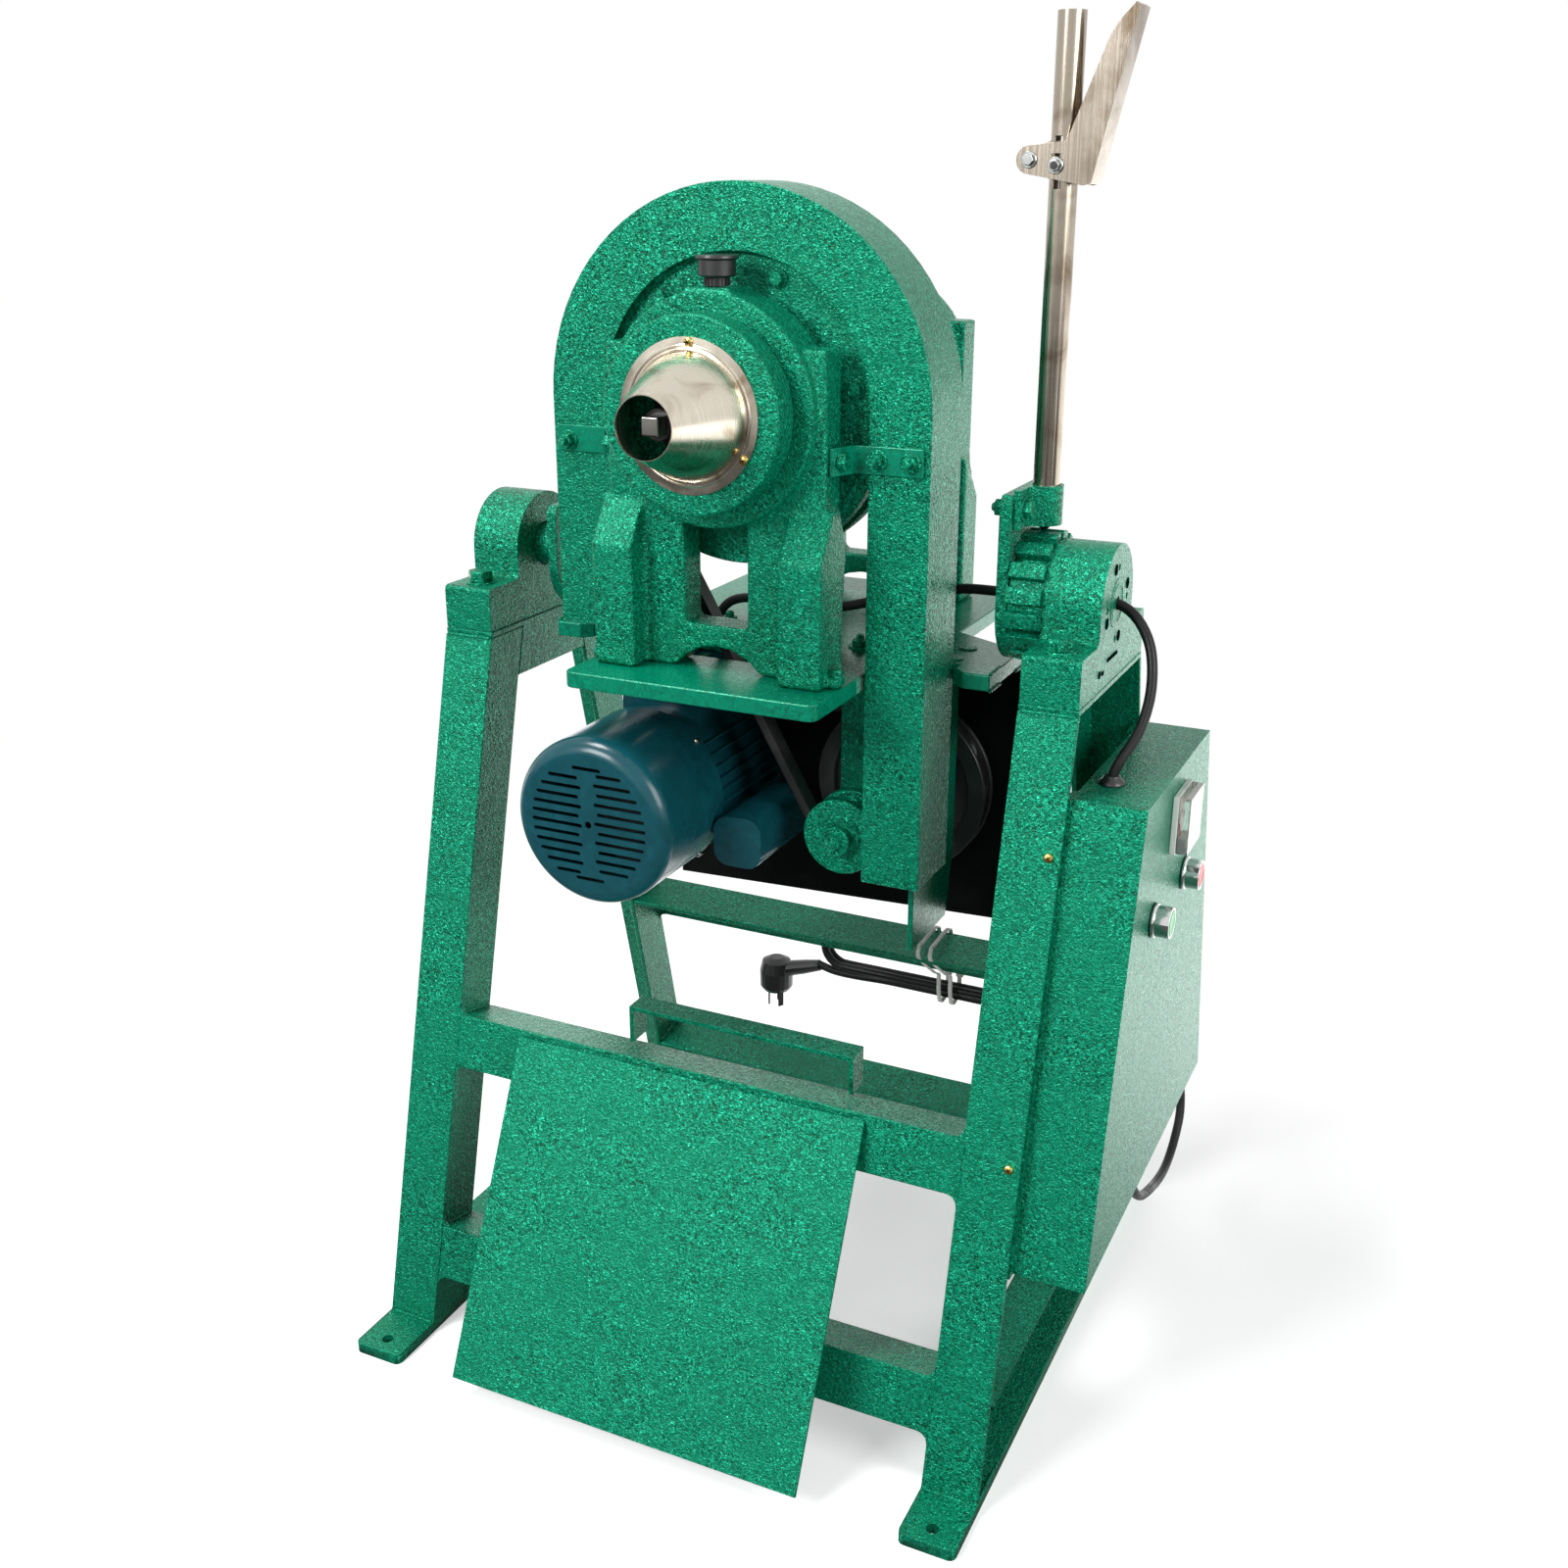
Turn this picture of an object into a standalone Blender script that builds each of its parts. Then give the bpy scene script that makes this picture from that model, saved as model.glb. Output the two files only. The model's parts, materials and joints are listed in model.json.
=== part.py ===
"""Tilting laboratory conical ball mill on an angle-steel stand.

Metres, +Z up, the operator's side towards -Y. Lengths are written in the machine's own
frame, whose origin is on the floor midway between the four legs. The empty "machine"
shifts that frame so that the world's origin is under the middle of the whole object.
"""

import math

import bmesh
import bpy
from mathutils import Matrix, Vector

# ---- Driving dimensions ------------------------------------------------------------------

FRAME_HALF_WIDTH = 0.300
ANGLE = 0.050
ANGLE_WALL = 0.005
INNER_X = FRAME_HALF_WIDTH - ANGLE
FLOOR_BAR = 0.010
RAIL_TOP = 0.655
FOOT_Y = 0.259
HEAD_Y = 0.098
SKID_HALF = 0.314
SLOPE = (FOOT_Y - HEAD_Y) / (RAIL_TOP - FLOOR_BAR)
LEAN = math.atan(SLOPE)
UPPER_BAR_TOP = 0.307
LOWER_BAR_TOP = 0.105
GAP = 0.0003

TILT_Z = 0.720
TRUNNION_R = 0.020
SWING_X = 0.210
SWING_PLATE = 0.010
TABLE_TOP = 0.660
TABLE_THICK = 0.014
TABLE_HALF = 0.115

DRUM_Z = 0.873
DRUM_R = 0.120
NECK_R = 0.030
NECK_BORE = 0.022

COUNTER_X, COUNTER_Z = 0.093, 0.510
MOTOR_X, MOTOR_Z = -0.090, 0.530
BELT_THICK = 0.008
DRUM_BELT_Y = (-0.0775, -0.0615)
DRUM_BELT_R = (0.1193, 0.0203)
MOTOR_BELT_Y = (0.0595, 0.0745)
MOTOR_BELT_R = (0.0736, 0.0230)

HANDLE_X = 0.2345
HANDLE_R = 0.011
HANDLE_BORE = 0.0092
HANDLE_FOOT = 0.7835
HANDLE_TOP = 1.163
LEVER_X, LEVER_Z = 0.2110, 1.0590
LINK_X = 0.2320

BOX_X = 0.362
METER_Y, METER_Z = 0.0075, 0.5415
STOP_Y, START_Y, BUTTON_Z = 0.052, -0.059, 0.4735
CORD_R = 0.0045
LEAD_R = 0.0044

MACHINE_SHIFT = Vector((-0.0393, 0.0055, 0.0))

TURN = 2.0 * math.pi
X_AXIS = Vector((1.0, 0.0, 0.0))
Y_AXIS = Vector((0.0, 1.0, 0.0))
Z_AXIS = Vector((0.0, 0.0, 1.0))

# ---- Scene, materials and pivots -----------------------------------------------------------

for old in list(bpy.data.objects):
    bpy.data.objects.remove(old, do_unlink=True)


def material(name, colour, roughness, metallic=0.0):
    made = bpy.data.materials.new(name)
    made.use_nodes = True
    shader = made.node_tree.nodes["Principled BSDF"]
    shader.inputs["Base Color"].default_value = (*colour, 1.0)
    shader.inputs["Roughness"].default_value = roughness
    shader.inputs["Metallic"].default_value = metallic
    return made


PAINT = material("hammered_green", (0.010, 0.260, 0.150), 0.28)
MOTOR_PAINT = material("motor_blue", (0.025, 0.130, 0.180), 0.30)
STAINLESS = material("stainless", (0.55, 0.50, 0.44), 0.28, 1.0)
STEEL = material("bright_steel", (0.50, 0.50, 0.50), 0.35, 1.0)
CHROME = material("chrome", (0.80, 0.80, 0.80), 0.12, 1.0)
RUBBER = material("black_rubber", (0.012, 0.012, 0.013), 0.55)
PLASTIC = material("black_plastic", (0.015, 0.015, 0.016), 0.40)
WHITE = material("white_plastic", (0.75, 0.76, 0.74), 0.35)
RED = material("red_lens", (0.70, 0.03, 0.03), 0.25)
GREEN = material("green_lens", (0.03, 0.55, 0.20), 0.25)

PIVOT_AT = {}


def pivot(name, at, parent=None):
    """An empty on a joint's axis, or at the origin of the fixed stand."""
    empty = bpy.data.objects.new(name, None)
    bpy.context.collection.objects.link(empty)
    PIVOT_AT[name] = Vector(at)
    if parent is None:
        empty.location = MACHINE_SHIFT + PIVOT_AT[name]
    else:
        empty.parent = parent
        empty.location = PIVOT_AT[name] - PIVOT_AT[parent.name]
    return empty


MACHINE = pivot("machine", (0, 0, 0))
TABLE = pivot("tilt_axis", (0, 0, TILT_Z), MACHINE)
DRUM = pivot("drum_axis", (0, 0, DRUM_Z), TABLE)
PLUG = pivot("plug_axis", (0, -0.2, DRUM_Z), DRUM)
COUNTER = pivot("counter_axis", (COUNTER_X, 0, COUNTER_Z), TABLE)
ROTOR = pivot("rotor_axis", (MOTOR_X, 0, MOTOR_Z), TABLE)
LEVER = pivot("lever_axis", (LEVER_X, 0, LEVER_Z), TABLE)
LOCK = pivot("lock_axis", (HANDLE_X, 0, HANDLE_FOOT), TABLE)
CUP = pivot("cup_axis", (0, -0.125, 0.967), TABLE)
STOP = pivot("stop_axis", (BOX_X, STOP_Y, BUTTON_Z), MACHINE)
START = pivot("start_axis", (BOX_X, START_Y, BUTTON_Z), MACHINE)
NEEDLE = pivot("needle_axis", (BOX_X + 0.006, METER_Y, METER_Z - 0.016), MACHINE)

# ---- Shape helpers -------------------------------------------------------------------------


def body(name, bm, paint, carrier=MACHINE):
    """Turns a bmesh in the machine's frame into an object that its pivot carries."""
    bmesh.ops.remove_doubles(bm, verts=bm.verts, dist=1e-6)
    bmesh.ops.dissolve_degenerate(bm, edges=bm.edges, dist=1e-7)
    bmesh.ops.recalc_face_normals(bm, faces=bm.faces)
    bmesh.ops.translate(bm, verts=bm.verts, vec=-PIVOT_AT[carrier.name])
    mesh = bpy.data.meshes.new(name)
    bm.to_mesh(mesh)
    bm.free()
    mesh.shade_smooth()
    mesh.set_sharp_from_angle(angle=math.radians(35))
    mesh.materials.append(paint)
    made = bpy.data.objects.new(name, mesh)
    made.parent = carrier
    bpy.context.collection.objects.link(made)
    return made


def swept(outline, travel):
    """A closed outline carried along a straight line."""
    bm = bmesh.new()
    corners = [bm.verts.new(point) for point in outline]
    face = bm.faces.new(corners)
    grown = bmesh.ops.extrude_face_region(bm, geom=[face])["geom"]
    moved = [item for item in grown if isinstance(item, bmesh.types.BMVert)]
    bmesh.ops.translate(bm, verts=moved, vec=travel)
    return bm


def along_x(outline, low, high):
    return swept([(low, y, z) for y, z in outline], X_AXIS * (high - low))


def along_y(outline, low, high):
    return swept([(x, low, z) for x, z in outline], Y_AXIS * (high - low))


def along_z(outline, low, high):
    return swept([(x, y, low) for x, y in outline], Z_AXIS * (high - low))


def block(low, high):
    outline = [(low[0], low[1]), (high[0], low[1]), (high[0], high[1]), (low[0], high[1])]
    return along_z(outline, low[2], high[2])


def turned(profile, centre, axis, steps=32):
    """A (radius, height) profile turned about an axis, closed where it is off the axis."""
    side = Y_AXIS if abs(axis.x) > 0.5 else X_AXIS
    bm = bmesh.new()
    ring = [bm.verts.new(Vector(centre) + side * r + axis * h) for r, h in profile]
    edges = [bm.edges.new((a, b)) for a, b in zip(ring, ring[1:])]
    if profile[0][0] > 0:
        edges.append(bm.edges.new((ring[-1], ring[0])))
    bmesh.ops.spin(bm, geom=ring + edges, cent=centre, axis=axis, dvec=(0, 0, 0),
                   angle=TURN, steps=steps, use_merge=True, use_duplicate=False)
    return bm


def rod(centre, axis, radius, low, high, steps=24):
    profile = [(0, low), (radius, low), (radius, high), (0, high)]
    return turned(profile, centre, axis, steps)


def pipe(centre, axis, outer, inner, low, high, steps=32):
    profile = [(inner, low), (outer, low), (outer, high), (inner, high)]
    return turned(profile, centre, axis, steps)


def arc(centre, radius, start, end, steps):
    """Points on an arc, its ends included, with angles in degrees from the first axis."""
    points = []
    for i in range(steps + 1):
        angle = math.radians(start + (end - start) * i / steps)
        points.append((centre[0] + radius * math.cos(angle),
                       centre[1] + radius * math.sin(angle)))
    return points


def rounded(low, high, radius, steps=3):
    """A rectangle's outline with round corners."""
    return (arc((high[0] - radius, high[1] - radius), radius, 0, 90, steps)
            + arc((low[0] + radius, high[1] - radius), radius, 90, 180, steps)
            + arc((low[0] + radius, low[1] + radius), radius, 180, 270, steps)
            + arc((high[0] - radius, low[1] + radius), radius, 270, 360, steps))


def mirrored(outline):
    return [(-a, b) for a, b in reversed(outline)]


def tool(shape, target, operation):
    """A hidden shape that is cut from, or joined to, its target."""
    guide = body(target.name + "_" + operation.lower(), shape, PAINT,
                 target.parent)
    guide.hide_render = True
    guide.display_type = "WIRE"
    change = target.modifiers.new(operation.title(), "BOOLEAN")
    change.operation = operation
    change.solver = "EXACT"
    change.object = guide


def cut(target, shape):
    tool(shape, target, "DIFFERENCE")


def join(target, shape):
    tool(shape, target, "UNION")


def smooth_route(points, count):
    """Evenly counted points on a smooth curve through a route's own points."""
    route = [Vector(point) for point in points]
    ends = [route[0] * 2 - route[1]] + route + [route[-1] * 2 - route[-2]]
    spans = len(route) - 1
    smooth = []
    for i in range(count):
        place = i * spans / (count - 1)
        span = min(int(place), spans - 1)
        t = place - span
        a, b, c, d = ends[span:span + 4]
        smooth.append(0.5 * (2 * b + (c - a) * t + (2 * a - 5 * b + 4 * c - d) * t ** 2
                             + (3 * b - a - 3 * c + d) * t ** 3))
    return smooth


def cable(name, points, radius, count, carrier=MACHINE):
    """A round cable along a smooth route, with filled ends."""
    curve = bpy.data.curves.new(name, "CURVE")
    curve.dimensions = "3D"
    curve.bevel_depth = radius
    curve.bevel_resolution = 2
    curve.use_fill_caps = True
    spline = curve.splines.new("POLY")
    spline.points.add(count - 1)
    for point, place in zip(spline.points, smooth_route(points, count)):
        point.co = (*(place - PIVOT_AT[carrier.name]), 1.0)
    curve.materials.append(RUBBER)
    made = bpy.data.objects.new(name, curve)
    made.parent = carrier
    bpy.context.collection.objects.link(made)
    return made


# ---- Stand ---------------------------------------------------------------------------------


def panel_y(z):
    """The outer face of the front or rear panel, as a distance from the middle."""
    return FOOT_Y - (z - FLOOR_BAR) * SLOPE


def leg(name, side, end):
    """Angle steel leaning with its panel, its ends cut level."""
    low, high = FLOOR_BAR + GAP, RAIL_TOP - ANGLE_WALL - GAP
    section = [(INNER_X, 0), (FRAME_HALF_WIDTH, 0), (FRAME_HALF_WIDTH, ANGLE_WALL),
               (INNER_X + ANGLE_WALL, ANGLE_WALL), (INNER_X + ANGLE_WALL, ANGLE),
               (INNER_X, ANGLE)]
    outline = []
    for x, depth in section:
        outline.append((side * x, end * (panel_y(low) - depth / math.cos(LEAN)), low))
    rise = high - low
    body(name, swept(outline, (0, -end * rise * SLOPE, rise)), PAINT)


def crossbar(name, end, top):
    """Angle steel between two legs, one flange in the panel and one turned inward."""
    down = Vector((end * math.sin(LEAN), -math.cos(LEAN)))
    inward = Vector((-end * math.cos(LEAN), -math.sin(LEAN)))
    corner = Vector((end * panel_y(top), top))
    section = [(0, 0), (ANGLE, 0), (ANGLE, ANGLE_WALL), (ANGLE_WALL, ANGLE_WALL),
               (ANGLE_WALL, ANGLE), (0, ANGLE)]
    outline = [corner + inward * depth + down * drop for depth, drop in section]
    body(name, along_x(outline, -INNER_X + GAP, INNER_X - GAP), PAINT)


def top_rail(name, side):
    """Angle steel over the heads of two legs, which carries a bearing block."""
    web_low = RAIL_TOP - ANGLE
    reach = ANGLE / math.cos(LEAN) + GAP
    web = [(-panel_y(web_low) + reach, web_low), (panel_y(web_low) - reach, web_low),
           (panel_y(RAIL_TOP) - reach, RAIL_TOP - 0.002),
           (-panel_y(RAIL_TOP) + reach, RAIL_TOP - 0.002)]
    flange = sorted((side * INNER_X, side * FRAME_HALF_WIDTH))
    rail = body(name, block((flange[0], -HEAD_Y, RAIL_TOP - ANGLE_WALL),
                            (flange[1], HEAD_Y, RAIL_TOP)), PAINT)
    wall = sorted((side * INNER_X, side * (INNER_X + ANGLE_WALL)))
    join(rail, along_x(web, *wall))


def floor_runner(name, side):
    """Flat bar on the floor with bolt holes at its tips and a rail between the legs."""
    low, high = sorted((side * INNER_X, side * FRAME_HALF_WIDTH))
    runner = body(name, along_z(rounded((low, -SKID_HALF), (high, SKID_HALF), 0.006),
                                0, FLOOR_BAR), PAINT)
    reach = ANGLE / math.cos(LEAN) + GAP
    rail_top = FLOOR_BAR + 0.050
    web = [(-panel_y(FLOOR_BAR) + reach, FLOOR_BAR - 0.003),
           (panel_y(FLOOR_BAR) - reach, FLOOR_BAR - 0.003),
           (panel_y(rail_top) - reach, rail_top), (-panel_y(rail_top) + reach, rail_top)]
    join(runner, along_x(web, *sorted((side * INNER_X, side * (INNER_X + ANGLE_WALL)))))
    shelf_y = panel_y(rail_top) - reach
    shelf_x = sorted((side * (INNER_X + 0.002), side * (INNER_X + 0.040)))
    join(runner, block((shelf_x[0], -shelf_y, rail_top - ANGLE_WALL + GAP),
                       (shelf_x[1], shelf_y, rail_top - GAP)))
    for end in (-1, 1):
        hole = (side * (INNER_X + ANGLE / 2), end * 0.297, 0)
        cut(runner, rod(hole, Z_AXIS, 0.0055, -0.01, 0.02, 16))


def bearing_block(name, side):
    """Cast pillow block with a round back, a foot each way and the trunnion's bore."""
    foot_low, foot_high = RAIL_TOP + GAP, 0.695
    radius = 0.049
    fillet = 0.006
    outline = [(-0.0975, foot_low), (0.0975, foot_low)]
    outline += arc((0.0935, foot_high - 0.004), 0.004, 0, 90, 2)
    outline += arc((radius + fillet, foot_high + fillet), fillet, 270, 180, 2)
    outline += arc((0, TILT_Z), radius, 0, 180, 20)
    outline += arc((-radius - fillet, foot_high + fillet), fillet, 0, -90, 2)
    outline += arc((-0.0935, foot_high - 0.004), 0.004, 90, 180, 2)
    x = sorted((side * (INNER_X + 0.0007), side * (FRAME_HALF_WIDTH - 0.0005)))
    made = body(name, along_x(outline, *x), PAINT)
    cut(made, rod((0, 0, TILT_Z), X_AXIS, TRUNNION_R + 0.0005, x[0] - 0.01, x[1] + 0.01))
    face = side * (FRAME_HALF_WIDTH - 0.0005)
    for turn in range(4):
        angle = math.radians(90 * turn)
        centre = (face, 0.030 * math.cos(angle), TILT_Z + 0.030 * math.sin(angle))
        cut(made, rod(centre, X_AXIS, 0.003, -0.004, 0.004, 12))


def index_ring():
    """Notched ring fixed to the right-hand block, which the lock pin drops into."""
    low, high = SWING_X + SWING_PLATE + 0.0008, INNER_X + 0.0004
    teeth = 16
    outer, root, half_notch = 0.055, 0.046, 4.2
    pitch = 360 / teeth
    outline = []
    for tooth in range(teeth):
        middle = 90 + tooth * pitch
        outline += arc((0, TILT_Z), root, middle - half_notch, middle + half_notch, 1)
        outline += arc((0, TILT_Z), outer, middle + half_notch,
                       middle + pitch - half_notch, 2)
    ring = body("index_ring", along_x(outline, low, high), PAINT)
    cut(ring, rod((0, 0, TILT_Z), X_AXIS, 0.024, low - 0.01, high + 0.01))


def apron():
    """Sloping discharge plate whose top lip is welded to the front bar."""
    top_y, top_z = -0.1905, 0.3030
    foot_y, foot_z = -0.3250, 0.0200
    thick = 0.003
    slope = Vector((foot_y - top_y, foot_z - top_z)).normalized()
    normal = Vector((slope.y, -slope.x))
    outline = [(top_y, top_z), (foot_y, foot_z),
               (foot_y - normal.x * thick, foot_z - normal.y * thick),
               (top_y - normal.x * thick, top_z - normal.y * thick)]
    body("discharge_apron", along_x(outline, -0.180, 0.164), PAINT)


def tray_bracket():
    """Flat bar bent to a bridge behind the front bar, its legs tapering downward."""
    left, right, top = -0.086, 0.136, 0.336
    thick, front, back = 0.004, -0.150, -0.126
    outline = [(left, 0.300), (left, top), (right, top), (right, 0.300),
               (right - thick, 0.300), (right - thick, top - thick),
               (left + thick, top - thick), (left + thick, 0.300)]
    body("tray_bracket", along_y(outline, front, back), PAINT)


for SIDE, SIDE_NAME in ((-1, "left"), (1, "right")):
    for END, END_NAME in ((-1, "front"), (1, "rear")):
        leg(f"leg_{END_NAME}_{SIDE_NAME}", SIDE, END)
    top_rail("top_rail_" + SIDE_NAME, SIDE)
    floor_runner("floor_runner_" + SIDE_NAME, SIDE)
    bearing_block("bearing_block_" + SIDE_NAME, SIDE)
for END, END_NAME in ((-1, "front"), (1, "rear")):
    crossbar(f"crossbar_{END_NAME}_upper", END, UPPER_BAR_TOP)
    crossbar(f"crossbar_{END_NAME}_lower", END, LOWER_BAR_TOP)
index_ring()
apron()
tray_bracket()

# ---- Control box ---------------------------------------------------------------------------

BOX_TOP, BOX_FOOT = 0.5855, 0.2000
BOX_FRONT_TOP, BOX_FRONT_FOOT = -0.1080, -0.1980
BOX_REAR_TOP, BOX_REAR_FOOT = 0.1170, 0.2200
BOX_BACK_X = FRAME_HALF_WIDTH + 0.0004
BOX_SHEET = 0.0020


def box_outline(inset):
    return [(BOX_FRONT_FOOT + inset, BOX_FOOT + inset),
            (BOX_REAR_FOOT - inset * 1.25, BOX_FOOT + inset),
            (BOX_REAR_TOP - inset, BOX_TOP - inset),
            (BOX_FRONT_TOP + inset * 0.85, BOX_TOP - inset)]


def control_box():
    """Folded cover, open towards the legs, drilled for what it carries."""
    cover = body("control_box", along_x(box_outline(0), BOX_BACK_X, BOX_X), PAINT)
    cut(cover, along_x(box_outline(BOX_SHEET), BOX_BACK_X - 0.01, BOX_X - BOX_SHEET))
    for y in (STOP_Y, START_Y):
        cut(cover, rod((BOX_X, y, BUTTON_Z), X_AXIS, 0.0113, -0.01, 0.01, 20))
    cut(cover, rod((0.320, -0.058, BOX_TOP), Z_AXIS, 0.0083, -0.01, 0.01, 16))
    cut(cover, rod((0.345, 0.025, BOX_FOOT), Z_AXIS, 0.0083, -0.01, 0.01, 16))


def control_panel():
    """Back plate that closes the cover and carries the contactor."""
    panel = body("control_panel", along_x(box_outline(BOX_SHEET + 0.0008),
                                          BOX_BACK_X, BOX_BACK_X + 0.0020), STEEL)
    join(panel, block((BOX_BACK_X + 0.001, -0.055, 0.300), (0.338, 0.010, 0.385)))
    join(panel, block((BOX_BACK_X + 0.001, 0.040, 0.300), (0.325, 0.115, 0.335)))


def meter():
    """Square panel ammeter: a case with a window recess and the needle in it."""
    low, high = BOX_X + GAP, BOX_X + 0.0150
    case = body("ammeter", along_x(rounded((METER_Y - 0.026, METER_Z - 0.026),
                                           (METER_Y + 0.026, METER_Z + 0.026), 0.003, 2),
                                   low, high), WHITE)
    cut(case, along_x([(METER_Y - 0.022, METER_Z - 0.020), (METER_Y + 0.022, METER_Z - 0.020),
                       (METER_Y + 0.022, METER_Z + 0.022),
                       (METER_Y - 0.022, METER_Z + 0.022)], BOX_X + 0.005, high + 0.01))
    hub = Vector((0, METER_Y, METER_Z - 0.016))
    needle = body("ammeter_needle", rod(hub, X_AXIS, 0.0022, BOX_X + 0.0054,
                                        BOX_X + 0.0080, 12), RED, NEEDLE)
    lean = math.radians(48)
    tip = hub + Vector((0, -math.sin(lean), math.cos(lean))) * 0.027
    across = Vector((0, math.cos(lean), math.sin(lean))) * 0.0006
    outline = [hub - across, hub + across, tip + across * 0.5, tip - across * 0.5]
    join(needle, along_x([(p.y, p.z) for p in outline], BOX_X + 0.0060, BOX_X + 0.0068))


def push_button(name, y, lens, carrier):
    """Flush push button: a chromed bezel in the cover and its sprung head."""
    centre = (BOX_X, y, BUTTON_Z)
    profile = [(0.0090, -0.014), (0.0110, -0.014), (0.0110, GAP), (0.0145, GAP),
               (0.0145, 0.0030), (0.0132, 0.0050), (0.0132, 0.0160), (0.0112, 0.0160),
               (0.0112, 0.0040), (0.0090, 0.0040)]
    body(name + "_bezel", turned(profile, centre, X_AXIS, 20), CHROME)
    head = [(0, -0.010), (0.0086, -0.010), (0.0086, 0.0075), (0.0108, 0.0075),
            (0.0108, 0.0158), (0.0100, 0.0166), (0, 0.0166)]
    body(name + "_button", turned(head, centre, X_AXIS, 20), lens, carrier)


def collar(name, centre, up, outer_end):
    """Rubber collar in a hole of the box, around its cable."""
    profile = [(LEAD_R + 0.0006, -0.005), (0.0080, -0.005), (0.0080, 0.0), (0.0080, GAP),
               (0.0105, GAP), (0.0100, outer_end), (LEAD_R + 0.0006, outer_end)]
    body(name, turned(profile, centre, Z_AXIS * up, 20), RUBBER)


control_box()
control_panel()
meter()
push_button("stop", STOP_Y, RED, STOP)
push_button("start", START_Y, GREEN, START)
collar("lead_grommet", (0.320, -0.058, BOX_TOP), 1, 0.0040)
collar("mains_gland", (0.345, 0.025, BOX_FOOT), -1, 0.0050)

# ---- Cables --------------------------------------------------------------------------------

cable("control_lead", [(0.2502, 0, TILT_Z), (0.272, 0, TILT_Z), (0.2995, 0, 0.7195),
                       (0.3180, -0.003, 0.7090), (0.3320, -0.010, 0.6870),
                       (0.3375, -0.022, 0.6560), (0.3345, -0.038, 0.6270),
                       (0.3250, -0.053, 0.6060), (0.3203, -0.058, 0.5930),
                       (0.3200, -0.058, 0.5840), (0.3200, -0.058, 0.5740)], LEAD_R, 32)
cable("motor_lead", [(0.2498, 0, TILT_Z), (0.2250, 0, TILT_Z), (0.2000, 0, 0.7195),
                     (0.1600, 0.002, 0.7170), (0.1000, 0.008, 0.7020),
                     (0.0400, 0.018, 0.6850), (-0.0250, 0.028, 0.6830),
                     (-0.0700, 0.034, 0.6760), (-0.0890, 0.036, 0.6520),
                     (-0.0900, 0.036, 0.6220), (-0.0900, 0.036, 0.6100)], LEAD_R, 34, TABLE)
cable("mains_cord", [(0.3450, 0.025, 0.2060), (0.3450, 0.025, 0.1970),
                     (0.3450, 0.025, 0.1850), (0.3450, 0.036, 0.1540),
                     (0.3450, 0.075, 0.1230), (0.3450, 0.135, 0.0995),
                     (0.3450, 0.185, 0.0900), (0.3450, 0.223, 0.1010),
                     (0.3440, 0.247, 0.1280), (0.3360, 0.254, 0.1660),
                     (0.3140, 0.249, 0.2050), (0.2800, 0.237, 0.2340),
                     (0.2480, 0.224, 0.2475), (0.2220, 0.2158, 0.2508),
                     (0.2130, 0.2155, 0.2510), (0.2060, 0.2155, 0.2510)], CORD_R, 52)

HANK_X = (-0.055, 0.205)
HANK_Z = (0.2235, 0.2785)


def cord_hank():
    """Outer shape of the tied hank behind the rear bar."""
    radius = (HANK_Z[1] - HANK_Z[0]) / 2
    middle = HANK_Z[0] + radius
    outline = (arc((HANK_X[1] - radius, middle), radius, -90, 90, 10)
               + arc((HANK_X[0] + radius, middle), radius, 90, 270, 10))
    body("cord_hank", along_y(outline, 0.2065, 0.2245), RUBBER)


def mains_plug():
    """Angled three-pin plug: the cord enters at the side and the pins point down."""
    middle = Vector((-0.112, 0.2155, 0.2010))
    profile = [(0, -0.019), (0.0150, -0.019), (0.0185, -0.014), (0.0190, 0.004),
               (0.0160, 0.016), (0.0080, 0.020), (0, 0.020)]
    plug = body("mains_plug", turned(profile, middle, Z_AXIS, 20), PLASTIC)
    neck = [(0, 0.0), (0.0095, 0.0), (0.0080, 0.030), (0.0062, 0.0500), (0, 0.0500)]
    start = middle + Vector((0.006, 0, 0.006))
    direction = Vector((math.cos(0.3), 0, math.sin(0.3)))
    join(plug, turned_along(neck, start, direction, 14))
    for angle, turn in ((90, 0), (-30, 60), (210, -60)):
        reach = Vector((math.cos(math.radians(angle)), math.sin(math.radians(angle)), 0))
        pin = block((-0.0030, -0.0009, -0.038), (0.0030, 0.0009, -0.017))
        bmesh.ops.rotate(pin, verts=pin.verts, cent=(0, 0, 0),
                         matrix=Matrix.Rotation(math.radians(turn), 3, "Z"))
        bmesh.ops.translate(pin, verts=pin.verts, vec=middle + reach * 0.0085)
        join(plug, pin)


def turned_along(profile, centre, direction, steps):
    """A profile turned about a slanting direction."""
    bm = turned(profile, (0, 0, 0), Z_AXIS, steps)
    spin = Z_AXIS.rotation_difference(direction).to_matrix()
    bmesh.ops.rotate(bm, verts=bm.verts, cent=(0, 0, 0), matrix=spin)
    bmesh.ops.translate(bm, verts=bm.verts, vec=centre)
    return bm


cord_hank()
mains_plug()

# ---- Tilting table -------------------------------------------------------------------------

TABLE_FOOT = TABLE_TOP - TABLE_THICK


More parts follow.
